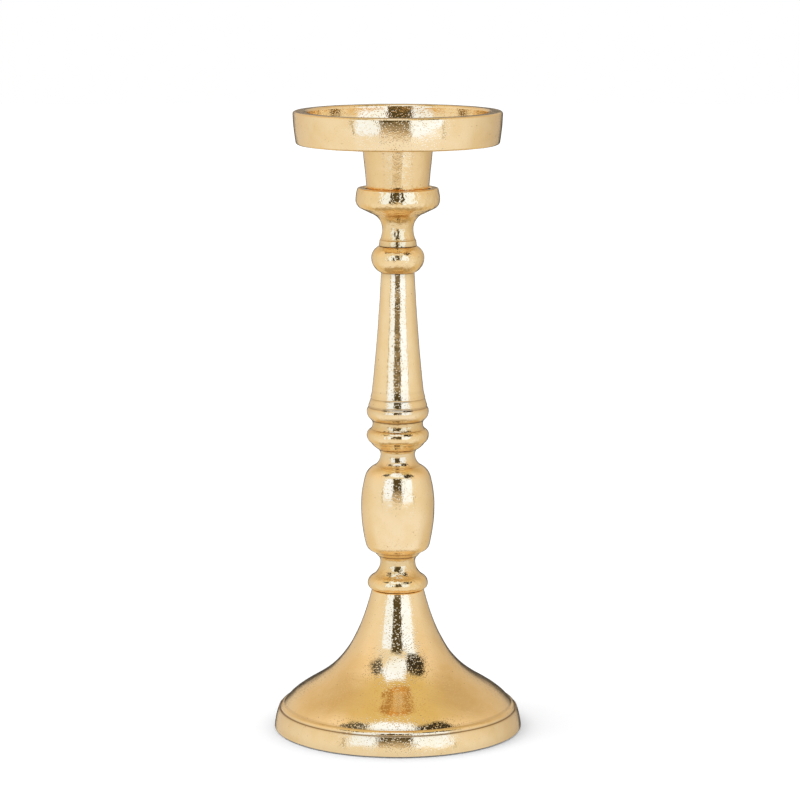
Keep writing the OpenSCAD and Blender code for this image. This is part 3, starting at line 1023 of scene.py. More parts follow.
@dataclass
class Foot:
    """Hollow bell with a band at its edge, and the felt ring under it, in mm and degrees."""

    base: float = 0.6
    height: float = 62.2
    radius: float = 55.15
    band_h: float = 8.6
    band_lean: float = 1.75
    band_swell: float = 0.3
    band_edge: float = 0.4
    seam_w: float = 0.4
    seam_depth: float = 0.3
    lip_w: float = 1.8
    lip_h: float = 1.9
    lip_swell: float = 0.5
    lip_slope: float = 53.0
    lip_reach: float = 17.2
    crown_slope: float = 75.7
    crown_reach: float = 44.0
    crown_edge: float = 1.0
    crown_r: float = 10.8
    crown_web: float = 12.6
    wall: float = 4.0
    felt_out: float = 53.35
    felt_in: float = 48.35
    felt_t: float = 1.2
    felt_nap: float = 0.08
    felt_soft: float = 0.4
    felt_bulge: float = 0.29
    recess_h: float = 0.6
    recess_gap: float = 0.1
    ceiling_gap: float = 0.3
    inside_steps: int = 48
    fibres: int = 2600
    register: Register = Register()

    def bell(self, steps: int = 150) -> list[Point]:
        """Points of the bell's curve, from its lip up to its crown.

        Args:
            steps: Number of steps along the curve.

        Returns:
            The points.
        """
        seam = self.radius - self.band_lean - self.band_edge - self.seam_w
        lip = (seam - self.lip_w, self.band_h + self.lip_h)
        crown = (self.crown_r + self.crown_edge, self.height - self.crown_edge)
        low, high = math.radians(self.lip_slope), math.radians(self.crown_slope)
        b = (lip[0] - self.lip_reach * math.cos(low), lip[1] + self.lip_reach * math.sin(low))
        c = (crown[0] + self.crown_reach * math.cos(high), crown[1] - self.crown_reach * math.sin(high))
        curve = []
        for k in range(steps + 1):
            t = k / steps
            w = ((1 - t) ** 3, 3 * t * (1 - t) ** 2, 3 * t * t * (1 - t), t**3)
            place = (w[0] * lip[i] + w[1] * b[i] + w[2] * c[i] + w[3] * crown[i] for i in (0, 1))
            curve.append(tuple(place))
        return curve

    def hollow(self) -> list[Point]:
        """Points of the bell's inside, from its mouth up to the crown's underside.

        Returns:
            The points.
        """
        curve = self.bell(self.inside_steps)
        ceiling = self.height - self.crown_web
        inside = []
        for k, (r, z) in enumerate(curve):
            a, b = curve[max(k - 1, 0)], curve[min(k + 1, len(curve) - 1)]
            length = math.dist(a, b)
            inwards = self.wall * (b[1] - a[1]) / length
            inside.append((r - inwards, z + self.wall * (b[0] - a[0]) / length))
        return [p for p in inside if p[1] < ceiling - self.ceiling_gap]

    def outline(self) -> Outline:
        """Half-section of the foot.

        Returns:
            The outline.
        """
        ceiling = self.height - self.crown_web
        band_top = (self.radius - self.band_lean, self.band_h - self.band_edge)
        inside = self.hollow()
        slope = (inside[-1][0] - inside[-2][0]) / (inside[-1][1] - inside[-2][1])
        ceiling_r = inside[-1][0] + slope * (ceiling - inside[-1][1])
        walk = Outline((self.radius, 0.0)).bow(band_top, self.band_swell).round_over(self.band_edge)
        bell = self.bell()
        seam = bell[0][0] + self.lip_w
        groove = (seam + self.seam_w / 2, self.band_h - self.seam_depth)
        walk.line(groove, (seam, self.band_h), skin=Skin.SEAM)
        walk.bow(bell[0], self.lip_swell, skin=Skin.FLUSH).line(*bell).round_over(self.crown_edge)
        top, r = self.height, self.register
        floor = top - r.socket_h
        socket = ((r.socket, top), (r.socket, floor), (r.bore, floor), (r.bore, ceiling))
        walk.line(*socket, skin=Skin.HIDDEN)
        near, far = self.felt_in - self.recess_gap, self.felt_out + self.recess_gap
        mouth = ((inside[0][0], 0.0), (near, 0.0))
        walk.line((ceiling_r, ceiling), *reversed(inside), *mouth, skin=Skin.RAW)
        walk.line((near, self.recess_h), (far, self.recess_h), (far, 0.0), skin=Skin.HIDDEN)
        walk.skins[0] = Skin.POLISHED
        return walk

    def felt(self, shop: Workshop) -> bpy.types.Object:
        """Felt ring with soft edges and loose fibres laid over all its faces.

        Args:
            shop: Lathe and finishes.

        Returns:
            The felt as a plain mesh object.
        """
        out, inn, soft = self.felt_out, self.felt_in, self.felt_soft
        top, low = self.felt_t, self.felt_nap
        bulge = self.felt_bulge * soft
        walk = Outline((out - soft, low)).bow((out, low + soft), bulge)
        walk.line((out, top - soft)).bow((out - soft, top), bulge)
        walk.line((inn + soft, top)).bow((inn, top - soft), bulge)
        walk.line((inn, low + soft)).bow((inn + soft, low), bulge)
        walk.skins[0] = Skin.POLISHED
        ring = shop.lathe.turn(
            "felt_ring_soft",
            walk.stations(edge=0.1),
            0.0,
            shop.felt,
            segments=320,
            waver=0.07,
            waver_size=1.0,
            seed=9,
        )
        return Fuzz().grow(ring, self.fibres, shop.felt)

    def build(self, shop: Workshop) -> None:
        """Make and dress the foot and its felt.

        Args:
            shop: Lathe and finishes.
        """
        bell = shop.lathe.turn("foot_bell", self.outline().stations(), self.base, shop.gold, seed=3)
        settle(bell, Slot.GOLD, "foot")
        felt = self.felt(shop)
        settle(felt, Slot.FELT, "felt_ring")


class Fuzz(Tool):
    """Lays loose fibres on felt."""

    NAME = "felt_fibres"
    TAKES = "Felt"
    GIVES = "Fuzzy"
    INPUTS = {
        "Density": "Float",
        "Length": "Float",
        "Thickness": "Float",
        "Seed": "Int",
        "Finish": "Material",
    }
    SIZES = {"Length": 1.4 * MM, "Thickness": 0.05 * MM, "Seed": 17}
    ARCH = 0.12
    TILT = 0.06

    def _wire(self, graph: Graph) -> None:
        """Lay the nodes: bent fibres set on points of the felt and turned at random.

        Args:
            graph: Graph of this tree.
        """
        given = graph.add("NodeGroupInput").outputs
        spread = graph.add(
            "GeometryNodeDistributePointsOnFaces",
            {"Mesh": given["Felt"], "Density": given["Density"], "Seed": given["Seed"]},
        )
        half = graph.math("MULTIPLY", given["Length"], 0.5)
        start, end = (
            graph.add("ShaderNodeCombineXYZ", {0: graph.math("MULTIPLY", half, side)}).outputs[0]
            for side in (-1.0, 1.0)
        )
        arch = graph.math("MULTIPLY", given["Length"], self.ARCH)
        peak = graph.add("ShaderNodeCombineXYZ", {1: arch}).outputs[0]
        bend = graph.add(
            "GeometryNodeCurveQuadraticBezier",
            {"Resolution": 4, "Start": start, "Middle": peak, "End": end},
        )
        radius = graph.math("MULTIPLY", given["Thickness"], 0.5)
        ring = graph.add("GeometryNodeCurvePrimitiveCircle", {"Resolution": 4, "Radius": radius})
        fibre = graph.add(
            "GeometryNodeCurveToMesh",
            {"Curve": bend.outputs[0], "Profile Curve": ring.outputs[0], "Fill Caps": True},
        )
        tilt = self.TILT
        spin = graph.add(
            "FunctionNodeRandomValue",
            {"Min": (-tilt, -tilt, 0.0), "Max": (tilt, tilt, math.tau), "Seed": given["Seed"]},
            data_type="FLOAT_VECTOR",
        ).outputs[0]
        placed = graph.add(
            "GeometryNodeInstanceOnPoints",
            {"Points": spread.outputs["Points"], "Instance": fibre.outputs[0], "Rotation": spin},
        )
        joined = graph.add("GeometryNodeJoinGeometry")
        for source in (given["Felt"], placed.outputs[0]):
            graph.tree.links.new(source, joined.inputs[0])
        self._end(graph, joined.outputs[0], given["Finish"])

    def grow(self, felt: bpy.types.Object, count: int, finish: bpy.types.Material) -> bpy.types.Object:
        """Lay fibres on a piece of felt.

        Args:
            felt: Felt as a plain mesh.
            count: About how many fibres.
            finish: Material of the felt.

        Returns:
            The same object with its fibres.
        """
        area = sum(face.area for face in felt.data.polygons)
        return self.work(felt, finish, {**self.SIZES, "Density": count / area})


@dataclass
class Stem:
    """Turned castings between the crown of the foot and the collar, heights in mm."""

    knop_base: float = 62.8
    knop_h: float = 15.3
    crown_r: float = 10.8
    knop_ring: Point = (13.4, 2.8)
    knop_edge: Point = (11.7, 6.0)
    knop_waist: Point = (7.8, 12.7)
    barrel_foot_r: float = 9.1
    barrel_h: float = 47.8
    heel_low: Point = (10.6, 1.7)
    heel: Point = (14.3, 5.6)
    heel_swell: float = 0.85
    belly: Point = (16.3, 22.27)
    shoulder: Point = (14.6, 35.5)
    shoulder_swell: float = 0.8
    shoulder_end: Point = (10.06, 40.7)
    barrel_waist: Point = (7.65, 45.5)
    ring_foot_r: float = 8.7
    ring_h: float = 13.0
    ring_fillet: Point = (12.0, 3.0)
    ring_fillet_swell: float = 0.25
    ring_peak: Point = (13.8, 6.37)
    ring_turn: Point = (12.0, 9.2)
    ring_waist: Point = (11.2, 11.4)
    column_foot_r: float = 11.65
    column_h: float = 65.6
    column_ring: Point = (13.75, 4.2)
    column_tip: Point = (0.8, 2.8)
    column_ring_end: Point = (13.05, 6.5)
    column_step: Point = (12.1, 9.8)
    column_root: Point = (11.4, 13.2)
    column_flare: float = 0.05
    column_top_r: float = 7.4
    column_hollow: float = 0.39
    line_w: float = 0.5
    line_depth: float = 0.2
    ball_h: float = 11.6
    ball: Point = (11.7, 6.3)
    ball_end_r: float = 7.8
    ball_top_r: float = 8.3
    register: Register = Register()

    def lower_knop(self) -> Outline:
        """Ring on the crown with a waisted neck above it.

        Returns:
            The outline.
        """
        walk = Outline((self.crown_r, 0.0)).swell(self.knop_ring, self.knop_edge)
        walk.swell(self.knop_waist, (self.barrel_foot_r, self.knop_h))
        return self.register.close(walk, self.knop_h)

    def barrel(self) -> Outline:
        """Long belly with a rounded heel, a shoulder and a neck.

        Returns:
            The outline.
        """
        walk = Outline((self.barrel_foot_r, 0.0)).line(self.heel_low).bow(self.heel, self.heel_swell)
        walk.swell(self.belly, self.shoulder).bow(self.shoulder_end, self.shoulder_swell)
        walk.swell(self.barrel_waist, (self.ring_foot_r, self.barrel_h))
        return self.register.close(walk, self.barrel_h)

    def ring_knop(self) -> Outline:
        """Rounded ring on a small fillet, with a hollow neck above it.

        Returns:
            The outline.
        """
        walk = Outline((self.ring_foot_r, 0.0)).bow(self.ring_fillet, self.ring_fillet_swell)
        walk.swell(self.ring_peak, self.ring_turn)
        walk.swell(self.ring_waist, (self.column_foot_r, self.ring_h))
        return self.register.close(walk, self.ring_h)

    def column(self) -> Outline:
        """Tapered column that grows out of a ring with two turned lines.

        Returns:
            The outline.
        """
        ring, end, step = self.column_ring, self.column_ring_end, self.column_step
        walk = Outline((self.column_foot_r, 0.0))
        walk.line((ring[0] - self.column_tip[0], ring[1] - self.column_tip[1]))
        walk.swell(ring, (end[0], end[1] - self.line_w))
        for r, z in (end, step):
            walk.line((r, z - self.line_w / 2))
            walk.line((r - self.line_depth, z), (r, z + self.line_w / 2), skin=Skin.SCORED)
        walk.line((step[0], step[1] + self.line_w)).bow(self.column_root, -self.column_flare)
        walk.bow((self.column_top_r, self.column_h), -self.column_hollow)
        return self.register.close(walk, self.column_h)

    def ball_knop(self) -> Outline:
        """Flattened ball."""
        walk = Outline((self.ball_end_r, 0.0)).swell(self.ball, (self.ball_top_r, self.ball_h))
        return self.register.close(walk, self.ball_h)

    def build(self, shop: Workshop) -> None:
        """Make and dress the stem from the crown upwards.

        Args:
            shop: Lathe and finishes.
        """
        base = self.knop_base
        parts: list[tuple[str, Callable[[], Outline], float, bpy.types.Material]] = [
            ("lower_knop", self.lower_knop, self.knop_h, shop.knop_gold),
            ("barrel", self.barrel, self.barrel_h, shop.gold),
            ("ring_knop", self.ring_knop, self.ring_h, shop.knop_gold),
            ("column", self.column, self.column_h, shop.gold),
            ("ball_knop", self.ball_knop, self.ball_h, shop.knop_gold),
        ]
        for seed, (node, outline, height, finish) in enumerate(parts, 11):
            piece = shop.lathe.turn(f"{node}_turned", outline().stations(), base, finish, seed=seed)
            settle(piece, Slot.GOLD, node)
            base += height


@dataclass
class Head:
    """Collar, candle cup and dish, heights in mm."""

    collar_base: float = 216.1
    collar_h: float = 25.5
    collar_foot_r: float = 8.4
    collar_foot: Point = (8.1, 2.5)
    collar_step: float = 0.3
    collar_waist: Point = (6.9, 7.5)
    collar_flare: Point = (11.88, 14.3)
    bowl_edge: Point = (16.7, 16.7)
    bowl: Point = (18.55, 20.2)
    lip_fall: float = 0.7
    lip_edge: float = 0.7
    well_r: float = 14.4
    well_h: float = 4.1
    well_seat: float = 0.5
    cup_h: float = 23.1
    cup_foot_r: float = 13.3
    cup_r: float = 15.6
    cup_socket_r: float = 11.2
    cup_floor: float = 5.4
    dish_h: float = 14.4
    dish_bore_r: float = 39.9
    dish_draft: float = 0.9
    dish_sweep: float = 0.16
    dish_wall: float = 5.9
    dish_lean: float = 1.2
    dish_swell: float = 0.2
    dish_floor: float = 4.0
    dish_edge: float = 1.2
    dish_fillet: float = 1.5
    rim_edge: float = 1.1
    plug_h: float = 12.0
    plug_r: float = 11.0
    plug_seat: float = 0.4
    rod_r: float = 3.0
    thread_end: float = 1.4
    register: Register = Register()

    def collar(self) -> Outline:
        """Flanged neck that opens into a shallow bowl with a well for the cup.

        Returns:
            The outline.
        """
        top = self.collar_h - self.lip_edge
        lip = (self.bowl[0] - self.lip_fall, top)
        walk = Outline((self.collar_foot_r, 0.0)).line(self.collar_foot)
        walk.line((self.collar_foot[0] - self.collar_step, self.collar_foot[1] + self.collar_step))
        walk.swell(self.collar_waist, self.collar_flare).line(self.bowl_edge)
        walk.swell(self.bowl, lip).round_over(self.lip_edge)
        walk.line((self.well_r + self.lip_edge, self.collar_h))
        walk.bow((self.well_r, top), QUARTER_ROUND * self.lip_edge)
        floor = self.collar_h - self.well_h
        walk.line((self.well_r, floor), (self.cup_foot_r - self.well_seat, floor))
        return self.register.close(walk, floor)

    def candle_cup(self) -> Outline:
        """Tapered cup that stands in the well.

        Returns:
            The outline.
        """
        r = self.register
        walk = Outline((self.cup_foot_r, 0.0)).line((self.cup_r, self.cup_h))
        return walk.line(
            (self.cup_socket_r, self.cup_h),
            (self.cup_socket_r, self.cup_floor),
            (r.bore, self.cup_floor),
            (r.bore, -r.spigot_h),
            (r.spigot, -r.spigot_h),
            (r.spigot, 0.0),
            skin=Skin.HIDDEN,
        )

    def dish(self) -> Outline:
        """Flat-floored dish with a wall that leans out a little and a plug below it.

        Returns:
            The outline.
        """
        rim = self.dish_bore_r + self.dish_wall
        foot = rim - self.dish_lean
        rim_z = self.dish_h - self.rim_edge
        walk = Outline((0.0, self.thread_end)).line(
            (self.rod_r, self.thread_end),
            (self.rod_r, -self.plug_h),
            (self.plug_r, -self.plug_h),
            (self.plug_r, 0.0),
            (self.cup_r - self.plug_seat, 0.0),
            skin=Skin.HIDDEN,
        )
        walk.line((foot - self.dish_edge, 0.0))
        walk.bow((foot, self.dish_edge), QUARTER_ROUND * self.dish_edge)
        walk.bow((rim, rim_z), self.dish_swell).round_over(self.rim_edge)
        walk.line((self.dish_bore_r + self.rim_edge, self.dish_h))
        walk.bow((self.dish_bore_r, rim_z), QUARTER_ROUND * self.rim_edge)
        low = self.dish_bore_r - self.dish_draft
        walk.bow((low, self.dish_floor + self.dish_fillet), -self.dish_sweep)
        walk.bow((low - self.dish_fillet, self.dish_floor), -QUARTER_ROUND * self.dish_fillet)
        return walk.line((0.0, self.dish_floor), skin=Skin.SATIN)

    def build(self, shop: Workshop) -> None:
        """Make and dress the head from the collar upwards.

        Args:
            shop: Lathe and finishes.
        """
        cup_base = self.collar_base + self.collar_h - self.well_h
        parts: list[tuple[str, Callable[[], Outline], float, int, bpy.types.Material]] = [
            ("collar", self.collar, self.collar_base, 192, shop.knop_gold),
            ("candle_cup", self.candle_cup, cup_base, 192, shop.cup_gold),
            ("dish", self.dish, cup_base + self.cup_h, 256, shop.gold),
        ]
        for seed, (node, outline, base, segments, finish) in enumerate(parts, 21):
            rows = outline().stations()
            piece = shop.lathe.turn(f"{node}_turned", rows, base, finish, segments=segments, seed=seed)
            settle(piece, Slot.GOLD, node)


@dataclass
class Clamp:
    """Tie rod and its fasteners inside the bell, in mm and degrees."""

    rod_r: float = 3.0
    rod_low: float = 39.0
    rod_top: float = 261.4
    rod_chamfer: float = 0.6
    thread_top: float = 43.0
    pitch: float = 1.0
    thread_depth: float = 0.58
    bore_r: float = 3.3
    washer_z: float = 48.6
    washer_r: float = 9.0
    washer_t: float = 1.6
    washer_roll: float = 0.5
    washer_rise: float = 0.146
    washer_break: float = 0.1
    washer_burr: float = 0.2
    spring_z: float = 47.0
    spring_w: float = 2.2
    spring_t: float = 1.6
    spring_soft: float = 0.18
    spring_split: float = 0.8
    spring_columns: int = 120
    split_tilt: float = 20.0
    split_rise: float = 1.0
    nut_z: float = 42.0
    nut_flats: float = 10.0
    nut_h: float = 5.0
    nut_sink: float = 0.4
    nut_slope: float = 30.0
    nut_corner: float = 28.8
    nut_land: float = 0.12
    nut_ease: Point = (0.02, 0.012)
    nut_brim: Point = (0.03, 0.06)
    nut_skirt: float = 0.4
    sharp_edge: float = 35.0

    def rod(self, shop: Workshop) -> bpy.types.Object:
        """Threaded rod, with its thread cut where it shows below the nut.

        Args:
            shop: Lathe and finishes.

        Returns:
            The piece as a plain mesh object.
        """
        r, cut, low, top = self.rod_r, self.rod_chamfer, self.rod_low, self.rod_top
        walk = Outline((0.0, low)).line((r - cut, low), (r, low + cut))
        walk.line((r, self.thread_top), skin=Skin.THREADED)
        walk.line((r, top - cut), (r - cut, top), (0.0, top), skin=Skin.HIDDEN)
        return shop.lathe.turn(
            "tie_rod_threaded",
            walk.stations(edge=0.08),
            0.0,
            shop.steel,
            segments=72,
            waver=0.0,
            pitch=self.pitch,
            depth=self.thread_depth,
        )

    def washer(self, shop: Workshop) -> bpy.types.Object:
        """Stamped flat washer with one rolled edge.

        Args:
            shop: Lathe and finishes.

        Returns:
            The piece as a plain mesh object.
        """
        out, inn, top = self.washer_r, self.bore_r, self.washer_t
        roll, edge, burr = self.washer_roll, self.washer_break, self.washer_burr
        walk = Outline((inn + edge, 0.0)).line((out - roll, 0.0)).bow((out, roll), self.washer_rise)
        walk.line((out, top - edge), (out - edge, top))
        walk.line((inn + burr, top), (inn, top - burr), (inn, edge))
        walk.skins[0] = Skin.POLISHED
        return shop.lathe.turn(
            "crown_washer_stamped",
            walk.stations(edge=0.12),
            self.washer_z,
            shop.steel,
            segments=128,
            waver=0.02,
            seed=31,
        )

    def spring_washer(self, shop: Workshop) -> bpy.types.Object:
        """Split ring with slanted ends.

        Args:
            shop: Lathe and finishes.

        Returns:
            The piece as a plain mesh object.
        """
        inn, out, soft = self.bore_r, self.bore_r + self.spring_w, self.spring_soft
        low, high = self.spring_z, self.spring_z + self.spring_t
        section: list[Point] = []
        for r, z, start in (
            (out - soft, low + soft, -90),
            (out - soft, high - soft, 0),
            (inn + soft, high - soft, 90),
            (inn + soft, low + soft, 180),
        ):
            for k in range(4):
                t = math.radians(start + 30 * k)
                section.append((r + soft * math.cos(t), z + soft * math.sin(t)))
        slant = math.tan(math.radians(self.split_tilt))
        columns, count = self.spring_columns, len(section)
        points, faces = [], []
        for i in range(columns + 1):
            for r, z in section:
                middle = -slant * (z - low + self.split_rise)
                begin = math.asin((middle + self.spring_split / 2) / r)
                end = math.tau + math.asin((middle - self.spring_split / 2) / r)
                t = begin + (end - begin) * i / columns
                points.append((r * math.cos(t), r * math.sin(t), z))
        for i in range(columns):
            for k in range(count):
                a, b = i * count + k, i * count + (k + 1) % count
                faces.append((a, a + count, b + count, b))
        faces.append(tuple(range(count)))
        faces.append(tuple(columns * count + k for k in reversed(range(count))))
        return self.crisp("spring_washer_split", points, faces, shop.steel)

    def nut(self, shop: Workshop) -> bpy.types.Object:
        """Hexagon nut with chamfered corners and a countersunk thread.

        Args:
            shop: Lathe and finishes.

        Returns:
            The piece as a plain mesh object.
        """
        flat, r, top, sink = self.nut_flats / 2, self.rod_r, self.nut_h, self.nut_sink
        ease, brim = self.nut_ease, self.nut_brim
        slope = math.tan(math.radians(self.nut_slope))
        widest = flat / math.cos(math.radians(self.nut_corner))
        shares = (0.0, 0.02, 0.08, 0.2, 0.35, 0.5, 0.65, 0.8, 0.92, 0.98)
        angles = [math.radians(60 * (side + s)) for side in range(6) for s in shares]
        points, faces = [], []
        for t in angles:
            phi = (t % math.radians(60)) - math.radians(30)
            corner = min(flat / math.cos(phi), widest)
            drop = (corner - flat) * slope
            lower = [
                (r, sink),
                (r + sink, 0.0),
                (flat - self.nut_land, 0.0),
                (flat - ease[0], ease[1]),
                (corner - brim[0], drop + ease[1]),
                (corner, drop + brim[1]),
                (corner, drop + self.nut_skirt),
            ]
            section = lower + [(p[0], top - p[1]) for p in reversed(lower)]
            points.extend((p[0] * math.cos(t), p[0] * math.sin(t), p[1] + self.nut_z) for p in section)
        count, columns = len(section), len(angles)
        for i in range(columns):
            j = (i + 1) % columns
            for k in range(count):
                m = (k + 1) % count
                faces.append((i * count + k, j * count + k, j * count + m, i * count + m))
        return self.crisp("rod_nut_hex", points, faces, shop.steel)

    def crisp(
        self, name: str, points: list[Place], faces: list[tuple[int, ...]], finish: bpy.types.Material
    ) -> bpy.types.Object:
        """Make a small piece that is shaded smooth, apart from its sharp edges.

        Args:
            name: Name of the piece.
            points: Its points, in mm.
            faces: Its faces, by point numbers.
            finish: Its material.

        Returns:
            The new object.
        """
        piece = new_object(name, [tuple(c * MM for c in p) for p in points], faces)
        piece.data.materials.append(finish)
        piece.data.shade_smooth()
        piece.data.set_sharp_from_angle(angle=math.radians(self.sharp_edge))
        return piece

    def build(self, shop: Workshop) -> None:
        """Make and dress the rod and its fasteners.

        Args:
            shop: Lathe and finishes.
        """
        for make, node in (
            (self.rod, "tie_rod"),
            (self.washer, "crown_washer"),
            (self.spring_washer, "spring_washer"),
            (self.nut, "rod_nut"),
        ):
            settle(make(shop), Slot.STEEL, node)


@dataclass(frozen=True)
class Card:
    """Panel of the studio as polished metal sees it, in degrees round from the camera and up."""

    left: float
    right: float
    low: float
    high: float
    level: float
    soft: float = 2.5
    tint: Tint = Tint.COOL

    def over(
        self, graph: Graph, azimuth: object, height: object, below: object
    ) -> bpy.types.NodeSocket:
        """Lay this panel over what is behind it.

        Args:
            graph: Graph of the world.
            azimuth: Direction round from the camera, to the right.
            height: Direction up from the horizon.
            below: Light of what is behind the panel.

        Returns:
            Light with the panel laid over.
        """
        soft = self.soft
        mask = graph.product(
            graph.span(azimuth, self.left - soft, self.left + soft),
            graph.span(azimuth, self.right - soft, self.right + soft, 1.0, 0.0),
            graph.span(height, self.low - soft, self.low + soft),
            graph.span(height, self.high - soft, self.high + soft, 1.0, 0.0),
        )
        return graph.blend(mask, below, (*(self.level * part for part in self.tint.value), 1))


@dataclass(frozen=True)
class Panel:
    """Upright card in front of the holder that only polished metal sees, in m."""

    name: str
    left: float
    right: float
    low: float
    high: float
    level: float
    foot_level: float
    behind: float = 0.0
    tint: Tint = Tint.ICE
    fade: float = 0.10
    rise: float = 0.0
    foot_tint: Tint = Tint.PLAIN

    def stand(self, distance: float) -> None:
        """Set the card up.

        Args:
            distance: Distance of the cards from the axis of the holder.
        """
        y = -distance - self.behind
        left_top = self.high + (self.rise if -self.left > self.right else 0.0)
        right_top = self.high + (self.rise if self.right > -self.left else 0.0)
        corners = [
            (self.left, y, self.low),
            (self.right, y, self.low),
            (self.right, y, right_top),
            (self.left, y, left_top),
        ]
        card = new_object(self.name, corners, [(0, 1, 2, 3)])
        card.data.materials.append(self.glow())
        card.visible_camera = card.visible_diffuse = False
        card.visible_shadow = card.visible_transmission = False

    def glow(self) -> bpy.types.Material:
        """Light of the card, which fades into another tone at its foot.

        Returns:
            The material.
        """
        material, graph = blank_material(self.name)
        place = graph.add("ShaderNodeTexCoord").outputs["Object"]
        height = graph.add("ShaderNodeSeparateXYZ", {0: place}).outputs["Z"]
        share = graph.span(height, self.low, self.low + self.fade)
        body = tuple(self.level * part for part in self.tint.value)
        foot = tuple(self.foot_level * part for part in self.foot_tint.value)
        tone = graph.blend(share, (*foot, 1), (*body, 1))
        spent = graph.add("ShaderNodeLightPath").outputs["Diffuse Depth"]
        direct = graph.math("LESS_THAN", spent, FIRST_BOUNCE)
        light = graph.add("ShaderNodeEmission", {"Color": tone, "Strength": direct})
        graph.add("ShaderNodeOutputMaterial", {0: light.outputs[0]})
        return material


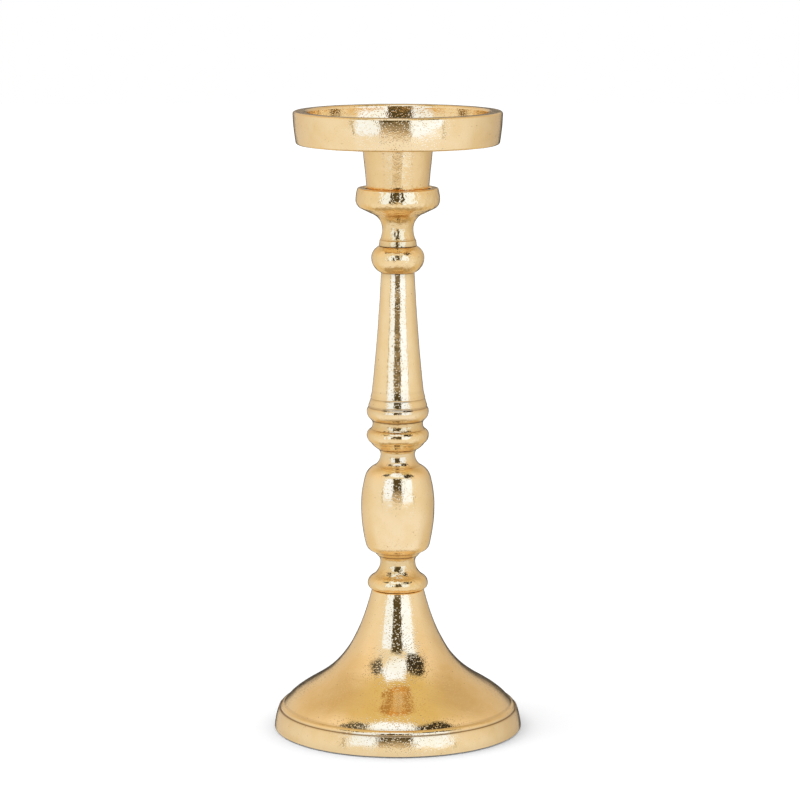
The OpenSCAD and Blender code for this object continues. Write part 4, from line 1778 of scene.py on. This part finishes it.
@dataclass
class Studio:
    """White floor, soft light and the camera, in metres and degrees."""

    floor_r: float = 4.0
    floor_sides: int = 96
    floor_tone: float = 0.95
    floor_lift: float = 0.115
    fill: float = 0.92
    tent: float = 0.9
    key_power: float = 0.65
    key_spread: float = 45.0
    key_height: float = 50.0
    key_turn: float = -80.0
    camera_place: Place = (0.0, -1.38875, 0.37469)
    pitch: float = 9.31
    lens: float = 143.64
    sensor: float = 36.0
    shift: Point = (0.00275, 0.001875)
    panel_distance: float = 0.6
    panels: tuple[Panel, ...] = (
        Panel("left", -0.62, -0.203, 0.045, 0.60, 1.30, 0.90, fade=0.09, rise=0.13),
        Panel("right", 0.148, 0.70, 0.035, 0.58, 1.38, 1.0, fade=0.08, rise=0.27),
        Panel("slit", -0.20, 0.145, 0.08, 0.66, 0.095, 0.67, -0.002, Tint.AMBER, 0.16, 0.0, Tint.WARM),
        Panel("right_wing", 0.70, 0.86, 0.10, 0.85, 1.0, 0.95, 0.0, Tint.COOL),
        Panel("left_post", -0.75, -0.68, 0.02, 0.26, 0.45, 0.45, 0.0, Tint.WARM),
        Panel("right_post", 0.73, 0.79, 0.0, 0.20, 0.55, 0.55, -0.002, Tint.WARM),
    )
    cards: tuple[Card, ...] = (
        Card(-85, 85, -80, -14, 1.0, 22, Tint.COOL),
        Card(112, ALL_ROUND, -PAST_POLE, PAST_POLE, 0.56, 50, Tint.WARM),
        Card(-ALL_ROUND, -125, -PAST_POLE, PAST_POLE, 0.70, 50, Tint.WARM),
        Card(58, ALL_ROUND, 20, PAST_POLE, 0.92, 20, Tint.WARM),
        Card(-ALL_ROUND, -62, 20, PAST_POLE, 0.97, 20, Tint.WARM),
        Card(108, ALL_ROUND, 22, PAST_POLE, 0.62, 30, Tint.HONEY),
        Card(-ALL_ROUND, -112, 22, PAST_POLE, 0.68, 30, Tint.HONEY),
        Card(100, ALL_ROUND, -PAST_POLE, -26, 0.80, 20, Tint.GILT),
        Card(-ALL_ROUND, -100, -PAST_POLE, -26, 0.86, 20, Tint.GILT),
        Card(-ALL_ROUND, ALL_ROUND, -PAST_POLE, -52, 0.50, 16, Tint.HONEY),
        Card(157, ALL_ROUND, -25, 7, 0.09, 8, Tint.WARM),
        Card(-ALL_ROUND, -160, -25, 7, 0.09, 8, Tint.WARM),
        Card(-ALL_ROUND, ALL_ROUND, 62, PAST_POLE, 0.77, 14, Tint.AMBER),
        Card(-38, 28, 52, 77, 1.35, 3, Tint.ICE),
        Card(-52, 28, 59, 77, 1.35, 3, Tint.ICE),
        Card(28, 76, 42, 66, 0.05, 3, Tint.GILT),
        Card(-78, -49, 46, 64, 0.12, 3, Tint.PLAIN),
    )

    def floor(self) -> None:
        """Round white floor that keeps the shadow and can be seen through from below."""
        count = self.floor_sides
        ring = [math.tau * k / count for k in range(count)]
        points = [(self.floor_r * math.cos(t), self.floor_r * math.sin(t), 0.0) for t in ring]
        floor = new_object("floor", points, [tuple(range(count))])
        floor.data.materials.append(self.floor_paint())
        floor.visible_glossy = False

    def floor_paint(self) -> bpy.types.Material:
        """White paint that the camera sees a little brighter.

        Returns:
            The material.
        """
        material, graph = blank_material("studio_floor")
        seen = graph.add("ShaderNodeLightPath").outputs["Is Camera Ray"]
        paint = graph.add("ShaderNodeBsdfDiffuse", {"Color": self.grey(self.floor_tone)}).outputs[0]
        strength = graph.product(seen, self.floor_lift)
        lift = graph.add("ShaderNodeEmission", {"Color": WHITE, "Strength": strength}).outputs[0]
        both = graph.add("ShaderNodeAddShader", {0: paint, 1: lift}).outputs[0]
        clear = graph.add("ShaderNodeBsdfTransparent").outputs[0]
        back = graph.add("ShaderNodeNewGeometry").outputs["Backfacing"]
        shown = graph.add("ShaderNodeMixShader", {0: back, 1: both, 2: clear}).outputs[0]
        graph.add("ShaderNodeOutputMaterial", {0: shown})
        return material

    @staticmethod
    def grey(level: float) -> tuple[float, ...]:
        """Neutral colour of a level."""
        return (level, level, level, 1.0)

    def world(self) -> None:
        """White backdrop, an even fill, and the tent with its cards for polished metal."""
        world = bpy.data.worlds.new("studio")
        world.use_nodes = True
        world.node_tree.nodes.clear()
        graph = Graph(world.node_tree)
        way = graph.add("ShaderNodeTexCoord").outputs["Generated"]
        x, y, z = graph.add("ShaderNodeSeparateXYZ", {0: way}).outputs
        turn = graph.math("ARCTAN2", x, graph.math("MULTIPLY", y, -1.0))
        azimuth = graph.math("MULTIPLY", turn, math.degrees(1))
        height = graph.math("MULTIPLY", graph.math("ARCSINE", z), math.degrees(1))
        shine: object = self.grey(self.tent)
        for card in self.cards:
            shine = card.over(graph, azimuth, height, shine)
        path = graph.add("ShaderNodeLightPath").outputs
        mirrored = graph.math("MAXIMUM", path["Is Glossy Ray"], path["Is Transmission Ray"])
        direct = graph.math("LESS_THAN", path["Diffuse Depth"], FIRST_BOUNCE)
        shine = graph.blend(direct, BLACK, shine)
        seen = graph.blend(mirrored, self.grey(self.fill), shine)
        seen = graph.blend(path["Is Camera Ray"], seen, WHITE)
        light = graph.add("ShaderNodeBackground", {"Color": seen}).outputs[0]
        graph.add("ShaderNodeOutputWorld", {0: light})
        bpy.context.scene.world = world

    def key(self) -> None:
        """Large soft light on the left, which sets the shadow on the right."""
        lamp = bpy.data.lights.new("key", "SUN")
        lamp.energy, lamp.angle = self.key_power, math.radians(self.key_spread)
        key = bpy.data.objects.new("key", lamp)
        key.rotation_euler = (math.radians(90 - self.key_height), 0.0, math.radians(self.key_turn))
        key.visible_glossy = False
        bpy.context.scene.collection.objects.link(key)

    def camera(self) -> None:
        """Camera at the viewing angle of the photograph."""
        data = bpy.data.cameras.new("camera")
        data.lens, data.sensor_width = self.lens, self.sensor
        data.shift_x, data.shift_y = self.shift
        camera = bpy.data.objects.new("camera", data)
        camera.location = self.camera_place
        camera.rotation_euler = (math.radians(90 - self.pitch), 0.0, 0.0)
        bpy.context.scene.collection.objects.link(camera)
        bpy.context.scene.camera = camera

    def build(self) -> None:
        """Set up the studio."""
        self.camera()
        self.floor()
        for panel in self.panels:
            panel.stand(self.panel_distance)
        self.world()
        self.key()
        bpy.context.scene.view_settings.view_transform = "Standard"


def main() -> None:
    """Build the studio and the holder, sub-assembly by sub-assembly."""
    logging.basicConfig(level=logging.INFO, format="%(name)s %(message)s")
    Studio().build()
    shop = Workshop(
        lathe=Lathe(),
        gold=CastGold().material(),
        knop_gold=KnopGold().material(),
        cup_gold=CupGold().material(),
        steel=PlatedSteel().material(),
        felt=WoolFelt().material(),
    )
    for assembly in (Foot(), Stem(), Head(), Clamp()):
        assembly.build(shop)


if __name__ == "__main__":
    main()
